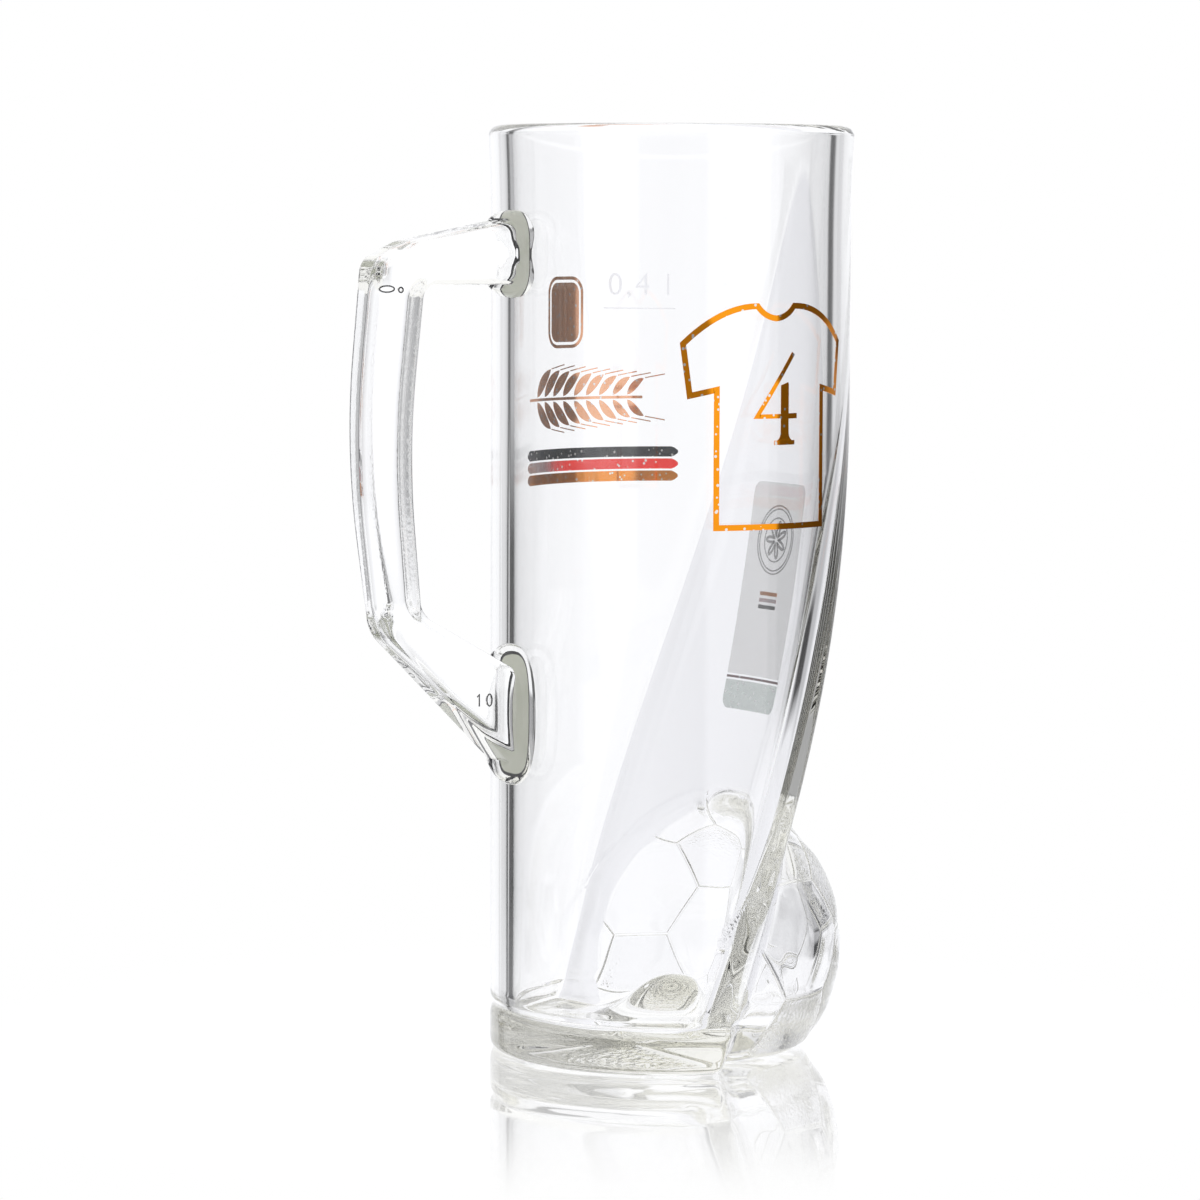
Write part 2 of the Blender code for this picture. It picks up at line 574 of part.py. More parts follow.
def build_prints():
    """Shirt and number on one side, badge, barley and stripes on the other, label on the panel."""
    gold = make_material("gold lustre", (0.62, 0.33, 0.05), 0.3, 0.9)
    copper = make_material("copper lustre", (0.5, 0.25, 0.14), 0.3, 0.9)
    dark = make_material("dark enamel", (0.02, 0.025, 0.05), 0.4)
    red = make_material("red enamel", (0.6, 0.02, 0.02), 0.4)
    grey = make_material("grey enamel", (0.6, 0.6, 0.58), 0.5)
    green = make_material("green enamel", (0.25, 0.36, 0.3), 0.5)
    wine = make_material("wine enamel", (0.3, 0.03, 0.04), 0.5)

    def on_shirt(along, z):
        return on_wall(SHIRT_AZIMUTH, along, SHIRT_HEM_Z + z)

    def on_badge(along, z):
        return on_wall(BADGE_AZIMUTH, along, BADGE_Z + z)

    shirt = shirt_line()
    add_print("shirt_outline_print", [offset_loop(shirt, SHIRT_LINE / 2), offset_loop(shirt, -SHIRT_LINE / 2)],
              on_shirt, gold)
    add_print("shirt_number_print", [[(x - NUMBER_WIDTH / 2, z + NUMBER_LIFT) for x, z in number_outline()]],
              on_shirt, gold)
    frame = rounded_box(BADGE_WIDTH, BADGE_HEIGHT, BADGE_CORNER)
    add_print("badge_frame_print", [frame, offset_loop(frame, -BADGE_FRAME)], on_badge, copper)
    inset = BADGE_FRAME + BADGE_MARGIN
    field = rounded_box(BADGE_WIDTH - 2 * inset, BADGE_HEIGHT - 2 * inset, BADGE_CORNER - inset)
    add_print("badge_field_print", [field], on_badge, copper)
    add_print("barley_print", [barley_outline()],
              lambda along, z: on_wall(BARLEY_AZIMUTH, along, BARLEY_Z + z), copper)
    for k, (name, colour) in enumerate((("gold", gold), ("red", red), ("dark", dark))):
        low = STRIPE_Z + k * (STRIPE_HEIGHT + STRIPE_GAP)
        half, slant = STRIPE_LENGTH / 2, STRIPE_SLANT
        high = low + STRIPE_HEIGHT
        stripe = [(-half, low), (half - slant, low), (half, high), (slant - half, high)]
        add_print(f"stripe_{name}_print", [stripe], lambda along, z: on_wall(BARLEY_AZIMUTH, along, z), colour)
    half = LABEL_WIDTH / 2
    rule_low = LABEL_Z + LABEL_BAND + LABEL_GAP
    ground_low = rule_low + LABEL_RULE + LABEL_GAP
    top = LABEL_Z + LABEL_HEIGHT
    band = rounded_outline([(-half, LABEL_Z, LABEL_CORNER), (half, LABEL_Z, LABEL_CORNER),
                            (half, LABEL_Z + LABEL_BAND, 0), (-half, LABEL_Z + LABEL_BAND, 0)], 4)
    rule = [(-half, rule_low), (half, rule_low), (half, rule_low + LABEL_RULE), (-half, rule_low + LABEL_RULE)]
    ground = rounded_outline([(-half, ground_low, 0), (half, ground_low, 0), (half, top, LABEL_CORNER),
                              (-half, top, LABEL_CORNER)], 4)
    for name, outline, colour in (("band", band, green), ("rule", rule, wine), ("ground", ground, grey)):
        add_print(f"label_{name}_print", [outline], on_front, colour)


def main():
    """Build the mug: vessel, handle and prints."""
    clear_scene()
    glass = make_material("clear glass", (0.92, 0.95, 0.94), 0.05, 0.0, 1.0)
    build_vessel(glass)
    build_handle(glass)
    build_prints()


main()
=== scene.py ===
"""Studio scene of a clear glass beer mug with a football moulded into its foot.

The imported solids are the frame. Each visible piece is a surface worked out with numpy in
metres, in the frame's own axes: +Z up, +X towards the front panel and the ball, -X
towards the handle. The mug's own axis stands in front of the origin, at the vessel's axis_x.
"""
from __future__ import annotations

import itertools
import json
import logging
import math
from dataclasses import dataclass
from enum import Enum
from typing import Callable, ClassVar

import bpy
import numpy as np
from mathutils import Matrix, Vector
from numpy.typing import NDArray

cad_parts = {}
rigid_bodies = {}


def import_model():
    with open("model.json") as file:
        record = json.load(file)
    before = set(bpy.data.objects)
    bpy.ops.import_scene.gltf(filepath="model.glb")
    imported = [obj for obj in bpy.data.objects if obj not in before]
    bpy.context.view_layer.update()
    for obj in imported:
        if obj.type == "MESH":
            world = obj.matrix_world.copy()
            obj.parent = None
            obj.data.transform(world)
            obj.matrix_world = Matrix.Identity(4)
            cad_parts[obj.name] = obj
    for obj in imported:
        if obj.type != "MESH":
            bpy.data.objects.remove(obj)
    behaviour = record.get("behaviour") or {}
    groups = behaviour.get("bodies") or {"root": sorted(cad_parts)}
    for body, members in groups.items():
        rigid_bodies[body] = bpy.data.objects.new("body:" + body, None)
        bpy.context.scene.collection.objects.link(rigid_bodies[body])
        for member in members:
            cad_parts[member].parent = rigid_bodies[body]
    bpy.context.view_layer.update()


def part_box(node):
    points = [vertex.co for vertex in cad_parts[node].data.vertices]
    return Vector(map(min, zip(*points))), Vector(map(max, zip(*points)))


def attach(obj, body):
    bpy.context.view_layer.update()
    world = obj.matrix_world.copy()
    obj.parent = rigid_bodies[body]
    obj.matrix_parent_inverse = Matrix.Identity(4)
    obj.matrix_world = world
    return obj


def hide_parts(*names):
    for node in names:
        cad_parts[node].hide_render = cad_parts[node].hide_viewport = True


LOG = logging.getLogger("beer_mug")
Array = NDArray[np.float64]
Colour = tuple[float, float, float]
Lay = Callable[[Array, Array, float], Array]
Outline = Callable[[Array], tuple[Array, Array]]
BODY = "root"
MM = 0.001
SHARP_EDGE = math.radians(40.0)
WHITE = (1.0, 1.0, 1.0, 1.0)


class Coat(Enum):
    """How a fired-on colour takes the light."""

    LUSTRE = "metal lustre"
    ENAMEL = "satin enamel"


def smoothstep(value: Array) -> Array:
    """Ease from 0 to 1: three t squared less two t cubed, t held to the unit range."""
    t = np.clip(value, 0.0, 1.0)
    return t * t * (3.0 - 2.0 * t)


def smooth_max(a: Array, b: Array, width: Array | float) -> Array:
    """The greater of two fields, rounded where they differ by less than a width.

    Adds a quarter of the width times the squared nearness, so convex edges are eased.

    Args:
        a: First field.
        b: Second field.
        width: Distance over which the two blend.

    Returns:
        The blended field.
    """
    near = np.clip(1.0 - np.abs(a - b) / np.maximum(width, 1e-9), 0.0, 1.0)
    return np.maximum(a, b) + near * near * width / 4.0


def smooth_min(a: Array, b: Array, width: Array | float) -> Array:
    """The lesser of two fields, filleted where they meet."""
    return -smooth_max(-a, -b, width)


def turned(points: Array, degrees: float) -> Array:
    """Points or directions turned about the upright axis."""
    cos, sin = math.cos(math.radians(degrees)), math.sin(math.radians(degrees))
    return points @ np.array([[cos, sin, 0.0], [-sin, cos, 0.0], [0.0, 0.0, 1.0]])


def ring_faces(rows: int, columns: int) -> Array:
    """Four-sided faces of a grid of rings, closed round its columns.

    Args:
        rows: Number of rings.
        columns: Points in a ring.

    Returns:
        Index array of shape (faces, 4).
    """
    index = np.arange(rows * columns).reshape(rows, columns)
    ahead = np.roll(index, -1, axis=1)
    return np.stack([index[:-1], ahead[:-1], ahead[1:], index[1:]], axis=-1).reshape(-1, 4)


def pole_faces(pole: int, ring: Array, first: bool) -> Array:
    """Triangles from a pole to a ring, wound like the grid that the ring ends.

    Args:
        pole: Index of the pole.
        ring: Indices of the ring.
        first: Whether the pole lies before the ring in the grid's order.

    Returns:
        Index array of shape (faces, 3).
    """
    ahead = np.roll(ring, -1)
    centre = np.full_like(ring, pole)
    return np.stack([centre, ahead, ring] if first else [ring, ahead, centre], axis=-1)


def capped_faces(rows: int, columns: int) -> list:
    """Faces of a grid of rings that a pole closes at each end.

    Args:
        rows: Number of rings.
        columns: Points in a ring.

    Returns:
        Lists of point indices; the two poles follow the grid's own points.
    """
    count = rows * columns
    index = np.arange(count).reshape(rows, columns)
    parts = (ring_faces(rows, columns), pole_faces(count, index[0], True), pole_faces(count + 1, index[-1], False))
    return [face for part in parts for face in part.tolist()]


def add_piece(name: str, points: Array, faces: list, material: bpy.types.Material,
              crisp: bool = True) -> bpy.types.Object:
    """Make a smooth shaded mesh object at the origin that rides on the mug.

    Args:
        name: Name of the piece.
        points: Point positions of shape (points, 3).
        faces: Lists of point indices.
        material: Its finish.
        crisp: Whether edges past the sharp angle stay sharp.

    Returns:
        The new object.
    """
    mesh = bpy.data.meshes.new(name)
    mesh.from_pydata(points.tolist(), [], faces)
    mesh.validate()
    mesh.shade_smooth()
    if crisp:
        mesh.set_sharp_from_angle(angle=SHARP_EDGE)
    mesh.materials.append(material)
    piece = bpy.data.objects.new(name, mesh)
    bpy.context.scene.collection.objects.link(piece)
    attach(piece, BODY)
    LOG.info("%s: %d points, %d faces", name, len(points), len(faces))
    return piece


def add_masks(piece: bpy.types.Object, masks: dict[str, Array]) -> None:
    """Store one number for each point under each name, for the finish to read."""
    for name, values in masks.items():
        mask = piece.data.attributes.new(name, "FLOAT", "POINT")
        mask.data.foreach_set("value", values.astype(np.float32))


class Nodes:
    """A node tree under construction."""

    def __init__(self, tree: bpy.types.NodeTree) -> None:
        """Start on a tree, empty or not."""
        self.tree = tree

    def add(self, kind: str, sockets: dict | None = None, **settings: object) -> bpy.types.Node:
        """Add a node, set its properties and feed its sockets.

        Args:
            kind: Node type without its ShaderNode prefix, or a full type name.
            sockets: Socket name or index to a value or to an output socket.
            settings: Properties of the node.

        Returns:
            The new node.
        """
        full = kind if kind.startswith("Node") else f"ShaderNode{kind}"
        node = self.tree.nodes.new(full)
        for key, value in settings.items():
            setattr(node, key, value)
        for key, value in (sockets or {}).items():
            if isinstance(value, bpy.types.NodeSocket):
                self.tree.links.new(value, node.inputs[key])
            else:
                node.inputs[key].default_value = value
        return node

    def math(self, operation: str, *values: object) -> bpy.types.NodeSocket:
        """Result of a math node on up to three numbers or sockets."""
        return self.add("Math", dict(enumerate(values)), operation=operation).outputs[0]

    def mix(self, share: bpy.types.NodeSocket, first: object, last: object) -> bpy.types.NodeSocket:
        """Blend of two colours, each a value or a socket, by a share."""
        return self.add("Mix", {"Factor": share, 6: first, 7: last}, data_type="RGBA").outputs[2]

    def link(self, output: bpy.types.NodeSocket, target: bpy.types.NodeSocket) -> None:
        """Lead an output into an input."""
        self.tree.links.new(output, target)


def principled(name: str, constants: dict) -> tuple[bpy.types.Material, Nodes, bpy.types.NodeInputs]:
    """A new material whose Principled shader has its constants set.

    Args:
        name: Name of the material.
        constants: Socket name to value.

    Returns:
        The material, its nodes and the shader's inputs.
    """
    made = bpy.data.materials.new(name)
    made.use_nodes = True
    shader = made.node_tree.nodes["Principled BSDF"].inputs
    for socket, value in constants.items():
        shader[socket].default_value = value
    return made, Nodes(made.node_tree), shader


class EffectGroups:
    """Shader node groups that several finishes share."""

    @staticmethod
    def _new(name: str, inputs: dict[str, float], outputs: list[str]) -> tuple[bpy.types.NodeTree, Nodes]:
        """Start a group with number sockets, in and out."""
        tree = bpy.data.node_groups.new(name, "ShaderNodeTree")
        for socket, value in inputs.items():
            made = tree.interface.new_socket(name=socket, in_out="INPUT", socket_type="NodeSocketFloat")
            made.default_value = value
        for socket in outputs:
            tree.interface.new_socket(name=socket, in_out="OUTPUT", socket_type="NodeSocketFloat")
        return tree, Nodes(tree)

    @classmethod
    def ripple(cls) -> bpy.types.NodeTree:
        """Slow waves of pressed glass with finer chill marks: two noises on Object coordinates."""
        name = "glass ripple"
        if name in bpy.data.node_groups:
            return bpy.data.node_groups[name]
        tree, nodes = cls._new(name, {"Wave Scale": 40.0, "Chill Scale": 300.0, "Chill Share": 0.05}, ["Height"])
        given = nodes.add("NodeGroupInput").outputs
        place = nodes.add("TexCoord").outputs["Object"]
        wave = nodes.add("TexNoise", {"Vector": place, "Scale": given["Wave Scale"], "Detail": 1.0})
        chill = nodes.add("TexNoise", {"Vector": place, "Scale": given["Chill Scale"], "Detail": 2.0})
        fine = nodes.math("MULTIPLY", chill.outputs["Fac"], given["Chill Share"])
        height = nodes.math("ADD", wave.outputs["Fac"], fine)
        nodes.add("NodeGroupOutput", {"Height": height})
        return tree

    @classmethod
    def firing(cls) -> bpy.types.NodeTree:
        """Marks of firing on a print: pin holes from cell centres, and a slow mottle."""
        name = "firing marks"
        if name in bpy.data.node_groups:
            return bpy.data.node_groups[name]
        tree, nodes = cls._new(name, {"Pit Scale": 750.0, "Pit Size": 0.2, "Mottle Scale": 120.0}, ["Pits", "Mottle"])
        given = nodes.add("NodeGroupInput").outputs
        place = nodes.add("TexCoord").outputs["Object"]
        cells = nodes.add("TexVoronoi", {"Vector": place, "Scale": given["Pit Scale"]})
        pits = nodes.math("LESS_THAN", cells.outputs["Distance"], given["Pit Size"])
        mottle = nodes.add("TexNoise", {"Vector": place, "Scale": given["Mottle Scale"], "Detail": 4.0})
        nodes.add("NodeGroupOutput", {"Pits": pits, "Mottle": mottle.outputs["Fac"]})
        return tree

    @classmethod
    def seams(cls, place: Vector, planes: Array, reach: float) -> bpy.types.NodeTree:
        """Seams of a football on Object coordinates, and its five-sided panels.

        A panel is where the dot product with its plane leads all others. Planes lie in
        opposite pairs, so one of each pair and the size of the product serve. The lead
        is nought on a seam, where the groove is a narrow bell of it.

        Args:
            place: Middle of the ball.
            planes: Normals over distances, the twelve fives first.
            reach: Lead at which the bell has fallen to a third.

        Returns:
            A group with the groove and the mask of the fives.
        """
        tree, nodes = cls._new("football seams", {}, ["Groove", "Five"])
        away = nodes.add("VectorMath", {0: nodes.add("TexCoord").outputs["Object"], 1: place}, operation="SUBTRACT")
        way = nodes.add("VectorMath", {0: away.outputs[0]}, operation="NORMALIZE").outputs[0]
        kept = [k for k, plane in enumerate(planes) if tuple(np.round(plane, 6)) > tuple(np.round(-plane, 6))]

        def size(k: int) -> bpy.types.NodeSocket:
            """Size of the dot product with a plane."""
            dot = nodes.add("VectorMath", {0: way, 1: Vector(planes[k])}, operation="DOT_PRODUCT")
            return nodes.math("ABSOLUTE", dot.outputs["Value"])

        fives = [size(k) for k in kept if k < Football.fives]
        sixes = [size(k) for k in kept if k >= Football.fives]
        five = fives[0]
        for value in fives[1:]:
            five = nodes.math("MAXIMUM", five, value)
        six, other = sixes[0], 0.0
        for value in sixes[1:]:
            other = nodes.math("MAXIMUM", other, nodes.math("MINIMUM", six, value))
            six = nodes.math("MAXIMUM", six, value)
        second = nodes.math("MAXIMUM", other, nodes.math("MINIMUM", five, six))
        lead = nodes.math("SUBTRACT", nodes.math("MAXIMUM", five, six), second)
        fall = nodes.math("POWER", nodes.math("DIVIDE", lead, reach), 2.0)
        groove = nodes.math("EXPONENT", nodes.math("MULTIPLY", fall, -1.0))
        inner = nodes.add("MapRange", {"Value": nodes.math("SUBTRACT", five, six), "From Min": 0.8 * reach,
                                       "From Max": 2.4 * reach})
        nodes.add("NodeGroupOutput", {"Groove": groove, "Five": inner.outputs["Result"]})
        return tree


@dataclass(frozen=True)
class GlassFinish:
    """Clear soda-lime glass with a faint tint in its depth and stippled places by an attribute.

    With seams, the attribute marks the ball, and the stipple keeps to its five-sided panels.
    Where the panel attribute is above nought, painted shade greys the glass's colour; with seams, the ball takes a
    share of it, its five-sided panels more.
    """

    name: str
    tint: Colour = (0.85, 0.84, 0.73)
    depth: float = 4.0
    refraction: float = 1.52
    ripple: float = 0.000008
    wave_scale: float = 40.0
    stipple: float = 0.0002
    stipple_scale: float = 1500.0
    stipple_roughness: float = 0.06
    seams: bpy.types.NodeTree | None = None
    seam_depth: float = 0.0003
    # Grey painted shade for the glass's colour, and the span of the panel attribute over which it comes in.
    painted_shade: Colour = (0.75, 0.75, 0.78)
    painted_shade_edge: tuple = (0.05 * MM, 0.15 * MM)
    # Share of the painted shade that the ball takes; its five-sided panels take twice that.
    ball_shade: float = 0.3

    def material(self) -> bpy.types.Material:
        """Build the material.

        Returns:
            A transmitting Principled surface with an absorbing inside.
        """
        made, nodes, shader = principled(self.name, {"IOR": self.refraction, "Transmission Weight": 1.0})
        mask = nodes.add("Attribute", attribute_name="stipple").outputs["Fac"]
        panel = nodes.add("Attribute", attribute_name="panel").outputs["Fac"]
        # Share of painted shade on the panel's outer face.
        low, high = self.painted_shade_edge
        shade_share = nodes.add("MapRange", {"Value": panel, "From Min": low, "From Max": high}).outputs["Result"]
        groove = 0.0
        if self.seams:
            pattern = nodes.add("Group", node_tree=self.seams).outputs
            groove = nodes.math("MULTIPLY", nodes.math("MULTIPLY", pattern["Groove"], mask), -self.seam_depth)
            five = nodes.math("MULTIPLY", pattern["Five"], mask)
            # Painted shade on the ball, twice as much on its five-sided panels.
            ball_shade_share = nodes.math("MULTIPLY_ADD", five, self.ball_shade, nodes.math("MULTIPLY", mask, self.ball_shade))
            mask, shade_share = five, nodes.math("MAXIMUM", shade_share, ball_shade_share)
        # The glass's colour, greyed by the painted shade share.
        nodes.link(nodes.mix(shade_share, WHITE, (*self.painted_shade, 1.0)), shader["Base Color"])
        nodes.link(nodes.math("MULTIPLY", mask, self.stipple_roughness), shader["Roughness"])
        place = nodes.add("TexCoord").outputs["Object"]
        grain = nodes.add("TexNoise", {"Vector": place, "Scale": self.stipple_scale, "Detail": 1.0})
        ripple = nodes.add("Group", node_tree=EffectGroups.ripple())
        ripple.inputs["Wave Scale"].default_value = self.wave_scale
        bumps = nodes.math("MULTIPLY", grain.outputs["Fac"], nodes.math("MULTIPLY", mask, self.stipple))
        height = nodes.math("ADD", nodes.math("MULTIPLY_ADD", ripple.outputs["Height"], self.ripple, bumps), groove)
        bump = nodes.add("Bump", {"Height": height, "Strength": 1.0, "Distance": 1.0})
        nodes.link(bump.outputs["Normal"], shader["Normal"])
        absorb = nodes.add("VolumeAbsorption", {"Color": (*self.tint, 1.0), "Density": self.depth})
        nodes.link(absorb.outputs["Volume"], made.node_tree.nodes["Material Output"].inputs["Volume"])
        return made


@dataclass(frozen=True)
class PrintFinish:
    """Fired-on colour: a metal lustre or a satin enamel, with pin holes and a mottled tone."""

    name: str
    colour: Colour
    shade: Colour
    coat: Coat
    roughness: float = 0.12
    roughness_swing: float = 0.12
    pit_size: float = 0.22
    pit_tone: Colour = (0.8, 0.78, 0.78)
    relief: float = 0.05 * MM
    translucence: float = 0.0
    cover: float = 1.0

    def material(self) -> bpy.types.Material:
        """Build the material.

        Returns:
            A Principled surface whose colour and roughness follow the firing marks.
        """
        metal = 1.0 if self.coat is Coat.LUSTRE else 0.0
        made, nodes, shader = principled(self.name, {"Metallic": metal, "Transmission Weight": self.translucence,
                                                     "Alpha": self.cover})
        marks = nodes.add("Group", node_tree=EffectGroups.firing())
        marks.inputs["Pit Size"].default_value = self.pit_size
        mottle = marks.outputs["Mottle"]
        tone = nodes.mix(mottle, (*self.colour, 1.0), (*self.shade, 1.0))
        nodes.link(nodes.mix(marks.outputs["Pits"], tone, (*self.pit_tone, 1.0)), shader["Base Color"])
        swing = self.roughness_swing
        nodes.link(nodes.math("MULTIPLY_ADD", mottle, swing, self.roughness - swing / 2.0), shader["Roughness"])
        bump = nodes.add("Bump", {"Height": mottle, "Strength": 0.25, "Distance": self.relief})
        nodes.link(bump.outputs["Normal"], shader["Normal"])
        return made


@dataclass(frozen=True)
class WeldFinish:
    """The fused joint of handle and wall as an opaque face: its pale olive is partly the glass's own tint in depth and
    partly painted light for light carried along the handle, and its near-black rings are painted shade.
    """

    name: str = "weld_scar"
    light: Colour = (0.97, 0.98, 0.87)
    deep: Colour = (0.8, 0.83, 0.69)
    # Near-black painted shade for the dark rings at the weld's edge.
    edge: Colour = (0.02, 0.02, 0.025)
    wave_scale: float = 160.0
    roughness: float = 0.5
    roughness_swing: float = 0.2

    def material(self) -> bpy.types.Material:
        """Build the material: an opaque face, mottled by the glass's own ripple, with painted shade on the marked
        rings.
        """
        made, nodes, shader = principled(self.name, {})
        ripple = nodes.add("Group", node_tree=EffectGroups.ripple())
        ripple.inputs["Wave Scale"].default_value = self.wave_scale
        height, swing = ripple.outputs["Height"], self.roughness_swing
        tone = nodes.mix(height, (*self.light, 1.0), (*self.deep, 1.0))
        # Painted shade: the rings that the weld attribute marks take the near-black colour.
        dark = nodes.add("Attribute", attribute_name="weld").outputs["Fac"]
        nodes.link(nodes.mix(dark, tone, (*self.edge, 1.0)), shader["Base Color"])
        nodes.link(nodes.math("MULTIPLY_ADD", height, swing, self.roughness - swing / 2.0), shader["Roughness"])
        return made


@dataclass(frozen=True)
class EtchFinish:
    """Frosted lines of an engraved mark: clear glass with a rough skin."""

    name: str = "frosted_mark"
    tone: Colour = (0.95, 0.95, 0.97)
    roughness: float = 0.3
    roughness_swing: float = 0.3
    relief: float = 0.05 * MM

    def material(self) -> bpy.types.Material:
        """Build the material, whose roughness and bump follow the firing marks' mottle."""
        made, nodes, shader = principled(self.name, {"Base Color": (*self.tone, 1.0), "Transmission Weight": 1.0})
        mottle = nodes.add("Group", node_tree=EffectGroups.firing()).outputs["Mottle"]
        swing = self.roughness_swing
        nodes.link(nodes.math("MULTIPLY_ADD", mottle, swing, self.roughness - swing / 2.0), shader["Roughness"])
        bump = nodes.add("Bump", {"Height": mottle, "Strength": 0.4, "Distance": self.relief})
        nodes.link(bump.outputs["Normal"], shader["Normal"])
        return made


@dataclass
class Football:
    """Panels of a football as a radius for each direction: twelve fives, twenty sixes, seams between."""

    radius: float = 33.3 * MM
    valley_depth: float = 0.45 * MM
    seam_reach: float = 0.007
    valley_reach: float = 0.06
    roll: float = 4.6
    turn: float = 4.5
    five_distance: float = 0.9391
    six_distance: float = 0.9149
    fives: ClassVar[int] = 12
    neighbour_dot: ClassVar[float] = 0.4

    def __post_init__(self) -> None:
        """Work out the panels' normals: a five nearly on top, and one of the lower five nearly in front."""
        turns = np.radians(72.0 * np.arange(5))
        flat, rise = 2.0 / math.sqrt(5.0), 1.0 / math.sqrt(5.0)
        lower = np.stack([flat * np.cos(turns), flat * np.sin(turns), np.full(5, -rise)], axis=1)
        fives = np.concatenate([lower, -lower, [[0, 0, 1], [0, 0, -1]]])
        trios = np.array(list(itertools.combinations(range(self.fives), 3)))
        dots = fives @ fives.T
        touching = [dots[trios[:, i], trios[:, j]] > self.neighbour_dot for i, j in ((0, 1), (1, 2), (0, 2))]
        sixes = fives[trios[np.all(touching, axis=0)]].sum(axis=1)
        sixes /= np.linalg.norm(sixes, axis=1, keepdims=True)
        lie = Matrix.Rotation(math.radians(self.roll), 3, "X") @ Matrix.Rotation(math.radians(self.turn), 3, "Z")
        self.planes = np.concatenate([fives / self.five_distance, sixes / self.six_distance]) @ np.array(lie).T

    def survey(self, direction: Array) -> Array:
        """Radius along unit directions.

        The panel is the plane that a direction meets first. The lead of that plane over
        the next one is nought on a seam and grows into the panel, so the pillowed panel's
        valley is a wide bell of that lead.

        Args:
            direction: Unit vectors of shape (..., 3).

        Returns:
            Radius for each direction.
        """
        best = np.partition(direction @ self.planes.T, -2, axis=-1)[..., -2:]
        lead = best[..., 1] - best[..., 0]
        return self.radius - self.valley_depth * np.exp(-((lead / self.valley_reach) ** 2))


